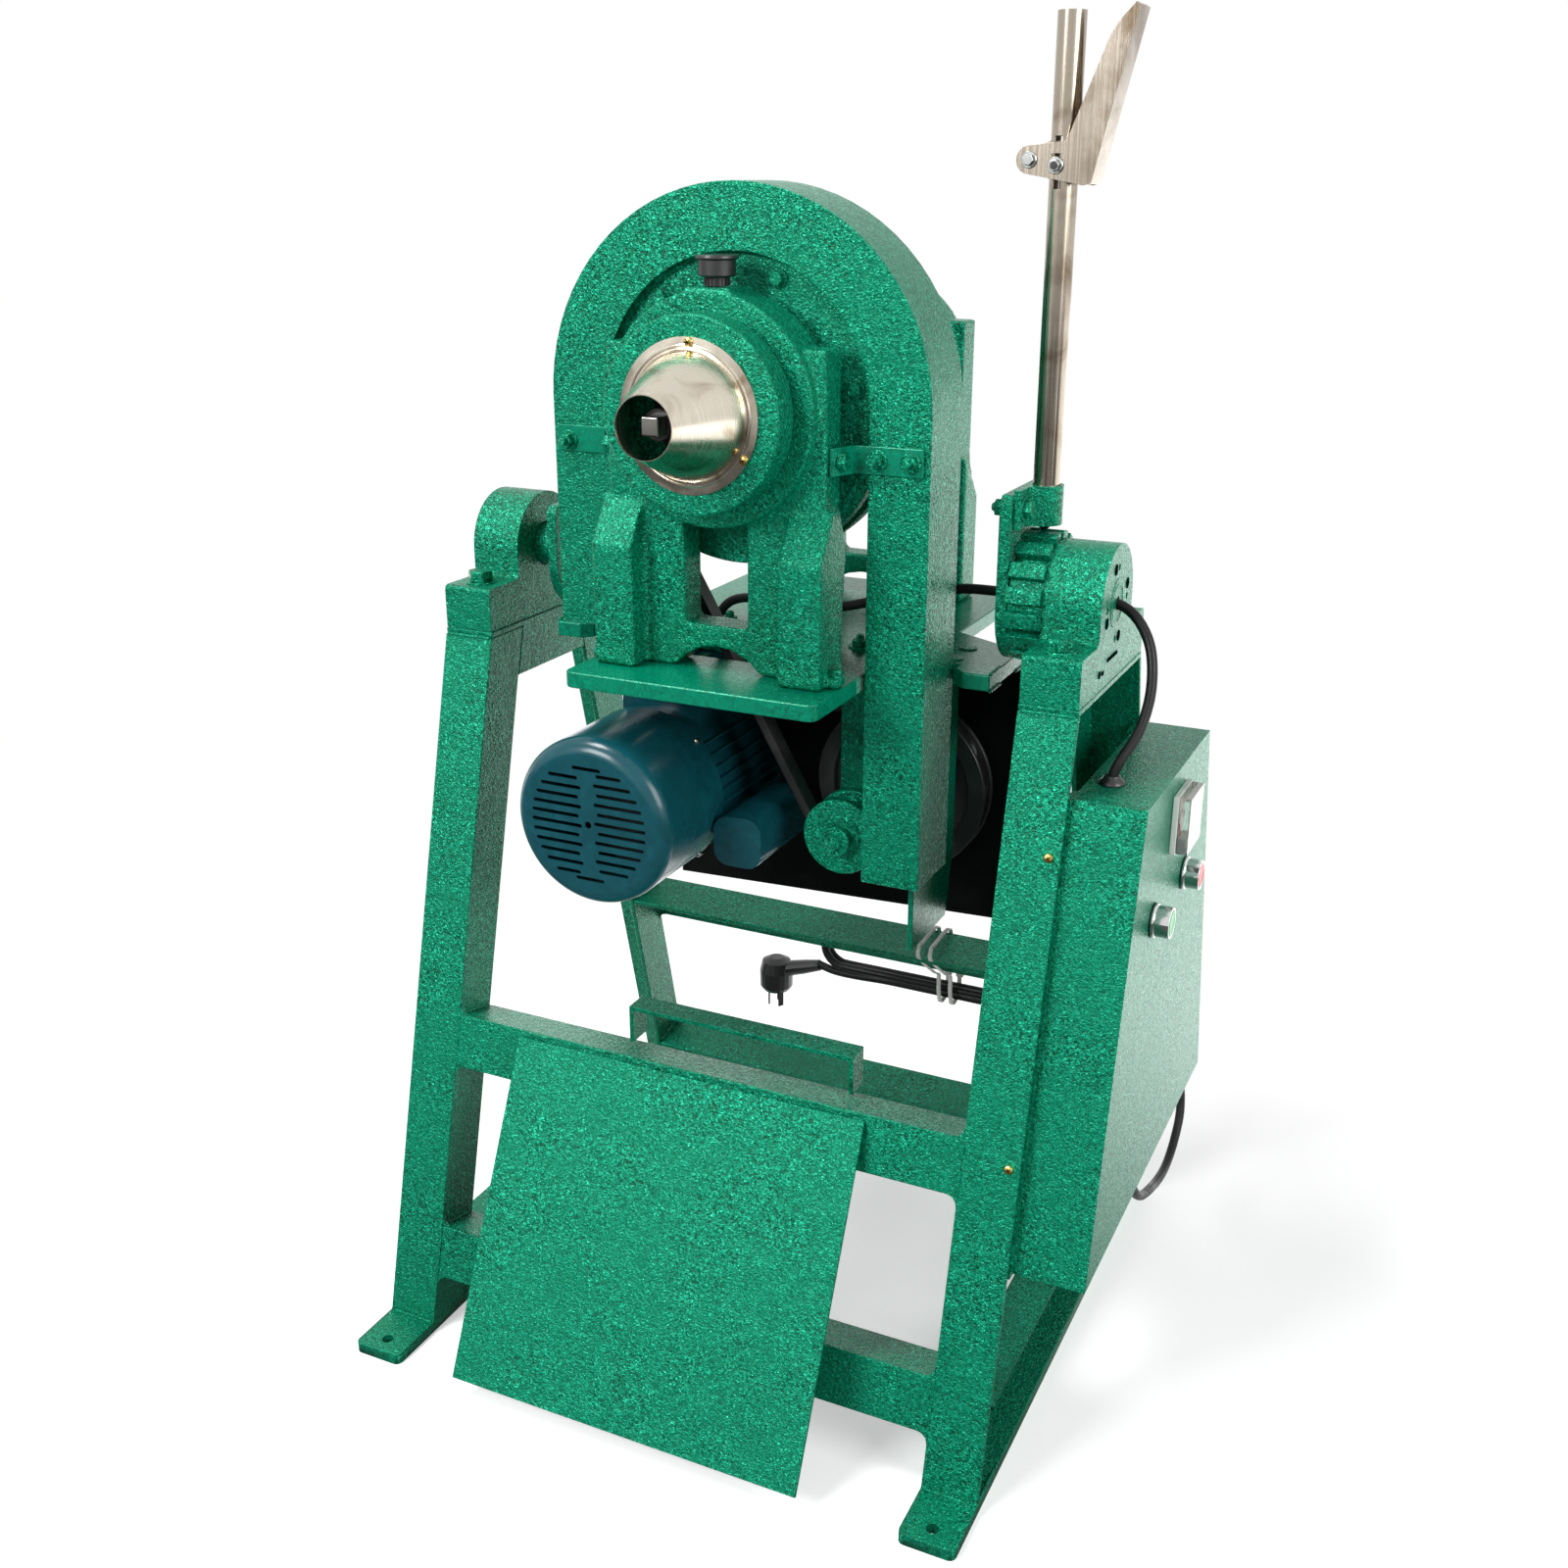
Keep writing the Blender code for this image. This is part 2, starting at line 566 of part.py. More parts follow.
def table_plate():
    """Cross-shaped plate with arms to the swing plates and slots for belt and lead."""
    arm = SWING_X - GAP
    half = arc((TABLE_HALF - 0.008, -0.182), 0.008, -90, 0, 3)
    half += [(TABLE_HALF, -0.027), (0.1760, -0.027), (0.1760, -0.040), (0.1860, -0.050),
             (arm, -0.050), (arm, 0.050), (0.1860, 0.050), (0.1400, 0.075), (0.1400, 0.235)]
    outline = half + mirrored(half)
    plate = body("table_plate", along_z(outline, TABLE_FOOT, TABLE_TOP), PAINT, TABLE)
    cut(plate, block((-0.075, -0.098, TABLE_FOOT - 0.01), (0.060, -0.036, TABLE_TOP + 0.01)))
    cut(plate, rod((-0.0885, 0.036, TABLE_TOP), Z_AXIS, 0.012, -0.03, 0.01, 16))


def swing_plate(name, side):
    """Upright plate on the tilt axis with its trunnion; the right one is hollow."""
    radius = 0.045
    top = 0.808 if side > 0 else 0.765
    outline = [(radius, top - 0.006), (radius - 0.006, top), (-radius + 0.006, top),
               (-radius, top - 0.006)]
    outline += arc((0, TILT_Z - 0.010), radius, 180, 360, 16)
    x = sorted((side * SWING_X, side * (SWING_X + SWING_PLATE)))
    plate = body(name, along_x(outline, *x), PAINT, TABLE)
    shaft = sorted((side * (SWING_X + 0.002), side * 0.292))
    join(plate, rod((0, 0, TILT_Z), X_AXIS, TRUNNION_R, *shaft, 28))
    if side > 0:
        cut(plate, rod((0, 0, TILT_Z), X_AXIS, 0.0100, 0.19, 0.31, 20))


def housing(name, front, back, boss_front, boss_back, feet_front, feet_back):
    """Two-legged bearing casting: a pierced web, two feet, shoulders and a round boss."""
    low = TABLE_TOP + GAP
    web = [(-0.097, low), (-0.040, low)]
    web += arc((0, low - 0.030), 0.050, 143, 37, 6)
    web += [(0.040, low), (0.097, low), (0.103, 0.760), (0.097, 0.800), (0.097, 0.923),
            (-0.097, 0.923), (-0.097, 0.800), (-0.103, 0.760)]
    made = body(name, along_y(web, front, back), PAINT, TABLE)
    cut(made, along_y(rounded((-0.029, 0.698), (0.029, 0.784), 0.003, 1),
                      front - 0.01, back + 0.01))
    for side in (-1, 1):
        x = sorted((side * 0.066, side * 0.1035))
        foot = [(feet_front, low), (feet_back, low), (feet_back, 0.760), (front, 0.800),
                (feet_front, 0.762)]
        if feet_front < front:
            foot = [(feet_front, low), (feet_back, low), (feet_back, 0.762),
                    (front + 0.004, 0.802), (front + 0.0005, 0.798), (feet_front, 0.762)]
        join(made, along_x(foot, *x))
    join(made, rod((0, 0, DRUM_Z), Y_AXIS, 0.092, boss_front, boss_back, 48))
    return made


def front_housing():
    made = housing("front_housing", -0.134, -0.103, -0.1455, -0.1035, -0.157, -0.110)
    pad = [(-0.020, 0.950), (0.020, 0.950), (0.020, 0.9665), (-0.020, 0.9665)]
    join(made, along_y(pad, -0.1440, -0.1060))
    cut(made, rod((0, 0, DRUM_Z), Y_AXIS, NECK_R + 0.0005, -0.20, -0.05, 32))


def rear_housing():
    made = housing("rear_housing", 0.176, 0.206, 0.170, 0.212, 0.176, 0.215)
    cut(made, rod((0, 0, DRUM_Z), Y_AXIS, 0.0255, 0.15, 0.25, 32))


def grease_cup():
    """Screw-down grease cup on the front casting's pad."""
    profile = [(0, 0), (0.0060, 0), (0.0060, 0.0060), (0.0150, 0.0070), (0.0158, 0.0200),
               (0.0172, 0.0205), (0.0172, 0.0230), (0, 0.0230)]
    body("grease_cup", turned(profile, (0, -0.125, 0.9670), Z_AXIS, 24), PLASTIC, CUP)


GUARD_R = 0.171
GUARD_OPENING = 0.119
GUARD_Y = (-0.100, -0.030)
GUARD_SHEET = 0.0018
GUARD_FEET = (0.676, 0.478)


def guard_outline(outer, inner, lift):
    """An arch with a long right leg and a short left one, its feet raised by a lift."""
    left, right = GUARD_FEET[0] + lift, GUARD_FEET[1] + lift
    return ([(outer, right)] + arc((0, DRUM_Z), outer, 0, 180, 36)
            + [(-outer, left), (-inner, left)] + arc((0, DRUM_Z), inner, 180, 0, 36)
            + [(inner, right)])


def belt_guard():
    """Sheet cover over the drum sheave, arched on top, with one long leg."""
    front, back = GUARD_Y
    guard = body("belt_guard", along_y(guard_outline(GUARD_R, GUARD_OPENING, 0),
                                       front, back), PAINT, TABLE)
    channel = guard_outline(GUARD_R - GUARD_SHEET, GUARD_OPENING - 0.01, GUARD_SHEET)
    cut(guard, along_y(channel, front + GUARD_SHEET, back + 0.01))


def guard_strap(name, side):
    """Bent flat bar from the casting's side to the guard's front."""
    low, high, thick = 0.827, 0.849, 0.003
    outer = 0.166
    near = 0.0976
    front = GUARD_Y[0] - GAP
    outline = [(near, -0.128), (near, -0.108), (near + thick, -0.108),
               (near + thick + 0.004, front - thick * 0.2), (outer, front),
               (outer, front - thick), (0.1100, front - thick), (near + thick, -0.128)]
    if side < 0:
        outline = mirrored(outline)
    body(name, along_z(outline, low, high), PAINT, TABLE)


def hanger_plate():
    """Plate under the right arm that stays the guard's long leg."""
    outline = [(-0.055, 0.4000), (0.030, 0.4000), (0.045, 0.4600),
               (0.045, TABLE_FOOT - GAP), (-0.0265, TABLE_FOOT - GAP), (-0.0265, 0.4760),
               (-0.055, 0.4760)]
    body("hanger_plate", along_x(outline, 0.1460, 0.1510), PAINT, TABLE)


def counter_bearing():
    """Bearing hung below the table for the countershaft."""
    outline = [(COUNTER_X + 0.028, TABLE_FOOT - GAP), (COUNTER_X - 0.028, TABLE_FOOT - GAP)]
    outline += arc((COUNTER_X, COUNTER_Z), 0.028, 180, 360, 14)
    made = body("counter_bearing", along_y(outline, -0.022, 0.042), PAINT, TABLE)
    cut(made, rod((COUNTER_X, 0, COUNTER_Z), Y_AXIS, 0.0105, -0.05, 0.06))


def motor():
    """Foot-mounted motor hung below the table, with its capacitor housing."""
    centre = (MOTOR_X, 0, MOTOR_Z)
    profile = [(0, -0.0950), (0.0680, -0.0950), (0.0680, 0.0290), (0.0705, 0.0290),
               (0.0705, 0.0400), (0.0500, 0.0470), (0.0180, 0.0490), (0, 0.0490)]
    case = body("motor", turned(profile, centre, Y_AXIS, 32), MOTOR_PAINT, TABLE)
    join(case, block((MOTOR_X - 0.040, -0.070, MOTOR_Z + 0.040),
                     (MOTOR_X + 0.040, 0.018, TABLE_FOOT - GAP)))
    join(case, rod((MOTOR_X, 0.036, 0), Z_AXIS, 0.011, MOTOR_Z + 0.050, 0.6085, 16))
    shell = rounded((-0.0230, -0.0230), (0.0230, 0.0230), 0.014, 4)
    join(case, along_y([(x + MOTOR_X + 0.098, z + MOTOR_Z - 0.030) for x, z in shell],
                       -0.1150, -0.0150))
    join(case, block((MOTOR_X + 0.050, -0.0900, MOTOR_Z - 0.040),
                     (MOTOR_X + 0.090, -0.0300, MOTOR_Z - 0.015)))
    cut(case, rod(centre, Y_AXIS, 0.0075, -0.12, 0.06, 20))


def fan_cover():
    """Deep drawn cover over the motor's fan, slotted for air."""
    centre = (MOTOR_X, 0, MOTOR_Z)
    front, back, radius, sheet = -0.2000, -0.0960, 0.0750, 0.0014
    rim = 0.0150
    outer = [(0, front)]
    outer += [(radius - rim + rim * math.sin(a), front + rim - rim * math.cos(a))
              for a in [math.radians(18 * i) for i in range(6)]]
    outer += [(radius, back)]
    inner = [(radius - sheet, back)]
    inner += [(radius - rim + (rim - sheet) * math.sin(a),
               front + rim - (rim - sheet) * math.cos(a))
              for a in [math.radians(18 * i) for i in range(5, -1, -1)]]
    inner += [(0, front + sheet)]
    cover = body("motor_fan_cover", turned(outer + inner, centre, Y_AXIS, 32),
                 MOTOR_PAINT, TABLE)
    cut(cover, rod(centre, Y_AXIS, 0.0030, front - 0.01, front + 0.01, 10))
    for row in range(-5, 6):
        z = MOTOR_Z + row * 0.0082
        reach = math.sqrt(0.0530 ** 2 - (row * 0.0082) ** 2)
        for side in (-1, 1):
            low = 0.0075 + 0.0020 * abs(row % 2)
            x = sorted((MOTOR_X + side * low, MOTOR_X + side * max(reach, low + 0.012)))
            cut(cover, block((x[0], front - 0.005, z - 0.0014),
                             (x[1], front + 0.005, z + 0.0014)))


table_plate()
swing_plate("swing_plate_left", -1)
swing_plate("swing_plate_right", 1)
front_housing()
rear_housing()
grease_cup()
belt_guard()
guard_strap("guard_strap_left", -1)
guard_strap("guard_strap_right", 1)
hanger_plate()
counter_bearing()
motor()
fan_cover()

# ---- Handle, squeeze lever and lock --------------------------------------------------------

LEVER_SHEET = 0.0015
CHEEK_Y = 0.0145
SLOT = (1.0380, 1.0760)


def handle_tube():
    """Stainless tube with a slot for the lever's link and a lug for its pivot."""
    foot = (HANDLE_X, 0, HANDLE_FOOT)
    tube = body("handle_tube", pipe(foot, Z_AXIS, HANDLE_R, HANDLE_BORE, 0,
                                    HANDLE_TOP - HANDLE_FOOT, 28), STAINLESS, TABLE)
    cut(tube, block((LINK_X - 0.0034, -0.03, SLOT[0]), (LINK_X + 0.0034, 0.03, SLOT[1])))
    lug = arc((LEVER_X, LEVER_Z), 0.0090, 90, 270, 8)
    lug += [(HANDLE_X - 0.0102, LEVER_Z - 0.014), (HANDLE_X - 0.0102, LEVER_Z + 0.014)]
    join(tube, along_y(lug, -0.0030, 0.0030))
    cut(tube, rod((LEVER_X, 0, LEVER_Z), Y_AXIS, 0.0033, -0.01, 0.01, 12))


def clamp_band():
    """Band round the tube's foot with a flange bolted to the swing plate."""
    low, high, thick = 0.7800, 0.8120, 0.0030
    inner = HANDLE_R + GAP
    outer = inner + thick
    plate_x = SWING_X + SWING_PLATE + GAP
    outline = arc((HANDLE_X, 0), outer, 180, -60, 14)
    outline += [(HANDLE_X - 0.004, -0.0155), (HANDLE_X - 0.0085, -0.0185),
                (HANDLE_X - 0.0085, -0.0400), (plate_x, -0.0400), (plate_x, -0.0060)]
    band = body("handle_clamp", along_z(outline, low, high), PAINT, TABLE)
    cut(band, rod((HANDLE_X, 0, 0), Z_AXIS, inner, low - 0.01, high + 0.01, 28))


def squeeze_lever():
    """Bent sheet lever: two cheeks joined by a round back, open towards the tube."""
    ear = arc((LEVER_X, LEVER_Z), 0.0105, 250, 80, 8)
    outline = ear + [(0.2395, 1.0725), (0.2680, 1.1440), (0.2745, 1.1540),
                     (0.2860, 1.1660), (0.2890, 1.1640), (0.2600, 1.0420),
                     (0.2540, 1.0405), (0.2420, 1.0430)]
    lever = body("squeeze_lever", along_y(outline, -CHEEK_Y, CHEEK_Y), STAINLESS, LEVER)
    inside = [(0.1900, 1.0300), (0.1900, 1.1000), (0.2300, 1.1900), (0.2720, 1.1900),
              (0.28655, 1.1680), (0.25800, 1.0400), (0.2560, 1.0300)]
    cut(lever, along_y(inside, -CHEEK_Y + LEVER_SHEET, CHEEK_Y - LEVER_SHEET))
    join(lever, rod((LEVER_X, 0, LEVER_Z), Y_AXIS, 0.0030, -CHEEK_Y - 0.001,
                    CHEEK_Y + 0.001, 12))
    cut(lever, block((LINK_X - 0.0038, -0.03, LEVER_Z - 0.0085),
                     (LINK_X + 0.0038, 0.03, LEVER_Z + 0.0045)))


def lock_pin():
    """Rod in the tube with the link bolt at its top and a tapered pin at its foot."""
    top = LEVER_Z - 0.004
    base = (HANDLE_X, 0, 0)
    ring_top = TILT_Z + 0.055
    profile = [(0, ring_top + 0.0006), (0.0030, ring_top + 0.0006), (0.0065, 0.7800),
               (0.0085, 0.7850), (0.0085, 0.8100), (0.0030, 0.8150), (0.0030, top + 0.006),
               (0, top + 0.006)]
    pin = body("lock_pin", turned(profile, base, Z_AXIS, 16), PLASTIC, LOCK)
    join(pin, rod((LINK_X, 0, top), Y_AXIS, 0.0030, -0.0210, 0.0210, 12))


handle_tube()
clamp_band()
squeeze_lever()
lock_pin()

# ---- Drum ----------------------------------------------------------------------------------

AXIS = (0, 0, DRUM_Z)


def drum_shell():
    """Hollow drum with a hollow front journal, a cone behind and a rear journal."""
    profile = [(0, 0.2350), (0.0250, 0.2350), (0.0250, 0.1520), (0.0450, 0.1500),
               (DRUM_R, 0.0600), (DRUM_R, -0.0400), (NECK_R, -0.0400),
               (NECK_R, -0.1744), (NECK_BORE, -0.1744), (NECK_BORE, -0.0340),
               (DRUM_R - 0.006, -0.0340), (DRUM_R - 0.006, 0.0575), (0.0400, 0.1445),
               (0, 0.1445)]
    body("drum_shell", turned(profile, AXIS, Y_AXIS, 32), PAINT, DRUM)


def sheave(name, centre, bore, rim, groove, belt_y, face, back, carrier, steps=32):
    """Pulley with one belt groove and a web between rim and hub."""
    low, high = belt_y
    profile = [(bore, face), (rim, face), (rim, low - 0.0012), (groove, low - GAP * 2),
               (groove, high + GAP * 2), (rim, high + 0.0012), (rim, back), (bore, back)]
    return body(name, turned(profile, centre, Y_AXIS, steps), PAINT, carrier)


def nose_ring():
    """Thick ring on the journal in front of the casting, which carries the cone."""
    ring = pipe(AXIS, Y_AXIS, 0.0770, NECK_R + GAP, -0.1750, -0.1480, 48)
    body("nose_ring", ring, PAINT, DRUM)


def feed_cone():
    """Spun steel cone with a flange on the nose ring."""
    sheet = 0.0012
    flange_y = -0.1753
    profile = [(0.0600, flange_y), (0.0600, flange_y - sheet), (0.0530, flange_y - sheet),
               (0.0500, flange_y - 0.0035), (0.0245, -0.2450), (0.0245 - sheet, -0.2450),
               (0.0490, flange_y - 0.0030), (0.0515, flange_y)]
    body("feed_cone", turned(profile, AXIS, Y_AXIS, 40), STAINLESS, DRUM)


def mouth_plug():
    """Stopper in the hollow journal, drawn by its square-headed bolt."""
    profile = [(0, -0.1500), (NECK_BORE - 0.0005, -0.1500), (NECK_BORE - 0.0005, -0.1950),
               (0.0125, -0.1980), (0.0125, -0.2230), (0, -0.2230)]
    plug = body("mouth_plug", turned(profile, AXIS, Y_AXIS, 28), PLASTIC, PLUG)
    half = 0.0075
    join(plug, block((-half, -0.2360, DRUM_Z - half), (half, -0.2200, DRUM_Z + half)))


drum_shell()
sheave("drum_sheave", AXIS, NECK_R + GAP, 0.1300, 0.1190, DRUM_BELT_Y, -0.0920, -0.0404, DRUM)
nose_ring()
feed_cone()
mouth_plug()

# ---- Belts and shafts ----------------------------------------------------------------------

COUNTER_AT = (COUNTER_X, 0, COUNTER_Z)
MOTOR_AT = (MOTOR_X, 0, MOTOR_Z)


def belt_loop(first, first_r, second, second_r):
    """Outline of a belt round two pulleys: two arcs joined by their outer tangents."""
    reach = Vector(second) - Vector(first)
    heading = math.degrees(math.atan2(reach.y, reach.x))
    spread = math.degrees(math.acos((first_r - second_r) / reach.length))
    return (arc(first, first_r, heading + spread, heading + 360 - spread, 28)
            + arc(second, second_r, heading - spread, heading + spread, 14))


def belt(name, first, second, radii, belt_y):
    outer = belt_loop(first, radii[0] + BELT_THICK, second, radii[1] + BELT_THICK)
    loop = body(name, along_y(outer, *belt_y), RUBBER, TABLE)
    inner = belt_loop(first, radii[0], second, radii[1])
    cut(loop, along_y(inner, belt_y[0] - 0.01, belt_y[1] + 0.01))


belt("drum_belt", (0, DRUM_Z), (COUNTER_X, COUNTER_Z), DRUM_BELT_R, DRUM_BELT_Y)
belt("motor_belt", (COUNTER_X, COUNTER_Z), (MOTOR_X, MOTOR_Z), MOTOR_BELT_R, MOTOR_BELT_Y)

body("countershaft", rod(COUNTER_AT, Y_AXIS, 0.0100, -0.0965, 0.0850), STEEL, COUNTER)
sheave("small_sheave", COUNTER_AT, 0.0103, 0.0300, 0.0200, DRUM_BELT_Y, -0.0880, -0.0500,
       COUNTER, 24)
sheave("large_sheave", COUNTER_AT, 0.0103, 0.0830, 0.0733, MOTOR_BELT_Y, 0.0540, 0.0800,
       COUNTER)


def motor_rotor():
    """Rotor shaft with the fan at its front and the motor pulley at its rear."""
    low, high = MOTOR_BELT_Y
    profile = [(0, -0.1300), (0.0600, -0.1300), (0.0600, -0.1050), (0.0070, -0.1050),
               (0.0070, 0.0540), (0.0320, 0.0540), (0.0320, low - 0.0012),
               (0.0227, low - GAP * 2), (0.0227, high + GAP * 2), (0.0320, high + 0.0012),
               (0.0320, 0.0800), (0, 0.0800)]
    body("motor_rotor", turned(profile, MOTOR_AT, Y_AXIS, 28), STEEL, ROTOR)


motor_rotor()
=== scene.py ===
import json
import math

import bmesh
import bpy
from mathutils import Matrix, Vector


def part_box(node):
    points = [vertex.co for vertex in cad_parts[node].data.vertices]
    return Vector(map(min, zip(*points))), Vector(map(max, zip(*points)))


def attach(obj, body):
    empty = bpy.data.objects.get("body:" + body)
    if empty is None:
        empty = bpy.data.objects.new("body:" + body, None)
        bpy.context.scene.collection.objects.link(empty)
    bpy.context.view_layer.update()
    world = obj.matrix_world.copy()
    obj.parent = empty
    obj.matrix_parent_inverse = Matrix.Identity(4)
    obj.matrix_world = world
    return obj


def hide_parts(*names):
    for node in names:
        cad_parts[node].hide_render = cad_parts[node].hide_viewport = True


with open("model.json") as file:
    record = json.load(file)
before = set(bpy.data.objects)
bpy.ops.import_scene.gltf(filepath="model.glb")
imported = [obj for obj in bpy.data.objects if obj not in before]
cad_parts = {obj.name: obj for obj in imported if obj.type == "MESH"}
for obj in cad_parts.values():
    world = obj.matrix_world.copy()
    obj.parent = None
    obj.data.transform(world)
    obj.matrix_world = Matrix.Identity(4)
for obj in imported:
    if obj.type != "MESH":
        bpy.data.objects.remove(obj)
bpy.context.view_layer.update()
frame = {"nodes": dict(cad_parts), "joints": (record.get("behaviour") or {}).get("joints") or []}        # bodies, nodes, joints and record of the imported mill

AT = {joint["name"]: Vector(joint["pos_m"]) for joint in frame["joints"] if "pos_m" in joint}
HOME = Vector((AT["tilt"].x, AT["tilt"].y, 0.0))    # on the floor, midway between the four legs
X, Y, Z = Vector((1, 0, 0)), Vector((0, 1, 0)), Vector((0, 0, 1))

# ---- Studio ---------------------------------------------------------------------------------
# A white room with a matt floor. The floor turns pure white away from the machine, so that
# only the shadow under the stand shows.


def tint(red, green, blue):
    """A colour chart's 0-255 values as a linear colour."""
    return [(c / 12.92 if c <= 0.04045 else ((c + 0.055) / 1.055) ** 2.4)
            for c in (red / 255, green / 255, blue / 255)] + [1.0]


def show(name, data):
    """A new object in the scene."""
    made = bpy.data.objects.new(name, data)
    scene.collection.objects.link(made)
    return made


scene = bpy.context.scene
scene.view_settings.view_transform = "Standard"

camera_data = bpy.data.cameras.new("camera")
camera_data.lens = 38.32
camera_data.sensor_width = 36.0
camera_data.clip_start, camera_data.clip_end = 0.05, 60.0
camera = show("camera", camera_data)
camera.matrix_world = (Matrix.Translation((0.5844, -1.3133, 1.0454))
                       @ Matrix.Rotation(math.radians(25.351), 4, "Z")
                       @ Matrix.Rotation(math.radians(90 - 19.949), 4, "X")
                       @ Matrix.Rotation(math.radians(0.118), 4, "Z"))
scene.camera = camera


def softbox(name, place, aim, size, power):
    """A square studio lamp at a place, turned to its aim."""
    data = bpy.data.lights.new(name, "AREA")
    data.shape = "SQUARE"
    data.size = size
    data.energy = power
    lamp = show(name, data)
    lamp.location = place
    lamp.rotation_euler = (Vector(aim) - Vector(place)).to_track_quat("-Z", "Y").to_euler()


softbox("lamp_front", (-1.2, -2.6, 2.1), (0.0, 0.0, 0.6), 1.1, 74)
softbox("lamp_side", (2.4, -0.9, 1.7), (0.1, 0.0, 0.6), 1.4, 50)
softbox("lamp_top", (-1.0, -0.75, 3.1), (0.0, 0.0, 0.8), 0.8, 58)


def feed(tree, node, inputs):
    """Gives each of a shader node's inputs a value or another node's output."""
    for label, value in inputs.items():
        if isinstance(value, bpy.types.NodeSocket):
            tree.links.new(value, node.inputs[label])
        else:
            node.inputs[label].default_value = value


def shade(tree, kind, inputs, operation=None):
    """The outputs of a new shader node with its inputs fed."""
    made = tree.nodes.new("ShaderNode" + kind)
    if operation and kind == "MapRange":
        made.interpolation_type = operation
    elif operation:
        made.operation = operation
    feed(tree, made, inputs)
    return made.outputs


world = bpy.data.worlds.new("white_room")
world.use_nodes = True
scene.world = world
room = world.node_tree
rays = shade(room, "LightPath", {})
seen = shade(room, "Math", {0: rays["Is Camera Ray"], 1: rays["Is Transmission Ray"]}, "MAXIMUM")
seen = shade(room, "Math", {0: seen[0], 1: rays["Is Glossy Ray"]}, "MAXIMUM")
fill_light = 0.17
level = shade(room, "MapRange", {"Value": seen[0], "To Min": fill_light, "To Max": 1.0})
feed(room, room.nodes["Background"], {"Color": (1.0, 1.0, 1.0, 1.0),
                                      "Strength": level["Result"]})

floor_mesh = bpy.data.meshes.new("studio_floor")
floor_bm = bmesh.new()
bmesh.ops.create_circle(floor_bm, cap_ends=True, segments=96, radius=14.0)
floor_bm.to_mesh(floor_mesh)
floor_bm.free()
studio_floor = show("studio_floor", floor_mesh)
studio_floor.location.z = -0.0005
floor_paint = bpy.data.materials.new("studio_floor")
floor_paint.use_nodes = True
tree = floor_paint.node_tree
tree.nodes.remove(tree.nodes["Principled BSDF"])
rays = shade(tree, "LightPath", {})
near = shade(tree, "TexCoord", {})["Object"]
matt = shade(tree, "BsdfDiffuse", {"Color": (0.8, 0.8, 0.8, 1.0)})[0]
lift = shade(tree, "Emission", {"Strength": 0.48})[0]
lifted = shade(tree, "MixShader", {0: rays["Is Camera Ray"], 1: matt,
                                   2: shade(tree, "AddShader", {0: matt, 1: lift})[0]})[0]
reach = shade(tree, "VectorMath", {0: near}, "LENGTH")["Value"]
fade = shade(tree, "MapRange", {"Value": reach, "From Min": 0.55, "From Max": 1.25},
             "SMOOTHSTEP")["Result"]
apart = shade(tree, "Math", {0: fade, 1: rays["Is Camera Ray"]}, "MULTIPLY")[0]
faded = shade(tree, "MixShader", {0: apart, 1: lifted,
                                  2: shade(tree, "Emission", {"Strength": 1.0})[0]})[0]
depth = shade(tree, "SeparateXYZ", {0: near})["Y"]
behind = shade(tree, "MapRange", {"Value": depth, "From Min": -0.2, "From Max": 0.8,
                                  "To Min": 0.12, "To Max": 2.2}, "SMOOTHSTEP")["Result"]
mirrored = shade(tree, "MixShader", {0: rays["Is Glossy Ray"], 1: faded,
                                     2: shade(tree, "Emission", {"Strength": behind})[0]})[0]
tree.links.new(mirrored, tree.nodes["Material Output"].inputs["Surface"])
floor_mesh.materials.append(floor_paint)

# ---- Mains cord -----------------------------------------------------------------------------
# Black rubber-sheathed three-core flex, 9 mm across. It leaves the control box's floor, hangs
# in one loop round the rear leg, and is folded into a hank tied behind the rear bar.


def effect(name, colours, numbers, outputs):
    """A shader node group for a surface effect, with its named inputs and outputs."""
    group = bpy.data.node_groups.new(name, "ShaderNodeTree")
    for label in colours:
        group.interface.new_socket(label, in_out="INPUT", socket_type="NodeSocketColor")
    for label, value in numbers.items():
        kind = "NodeSocketVector" if isinstance(value, tuple) else "NodeSocketFloat"
        socket = group.interface.new_socket(label, in_out="INPUT", socket_type=kind)
        socket.default_value = value
    for label in outputs:
        kind = "NodeSocketColor" if label == "Color" else "NodeSocketFloat"
        group.interface.new_socket(label, in_out="OUTPUT", socket_type=kind)
    return group, group.nodes.new("NodeGroupInput"), group.nodes.new("NodeGroupOutput")


def noise(tree, vector, scale, detail=2.0, distortion=0.0):
    """A noise texture on a vector, whose scale is a number or another node's output."""
    return shade(tree, "TexNoise", {"Vector": vector, "Scale": scale, "Detail": detail,
                                    "Distortion": distortion})["Fac"]


def spread(tree, value, low, high, to_low=0.0, to_high=1.0):
    """A value eased from one range into another."""
    return shade(tree, "MapRange", {"Value": value, "From Min": low, "From Max": high,
                                    "To Min": to_low, "To Max": to_high}, "SMOOTHSTEP")["Result"]


def blend_colour(tree, share, first, second):
    """A mix of two colour outputs by a share."""
    made = tree.nodes.new("ShaderNodeMix")
    made.data_type = "RGBA"
    feed(tree, made, {"Factor": share, "A": first, "B": second})
    return made.outputs["Result"]


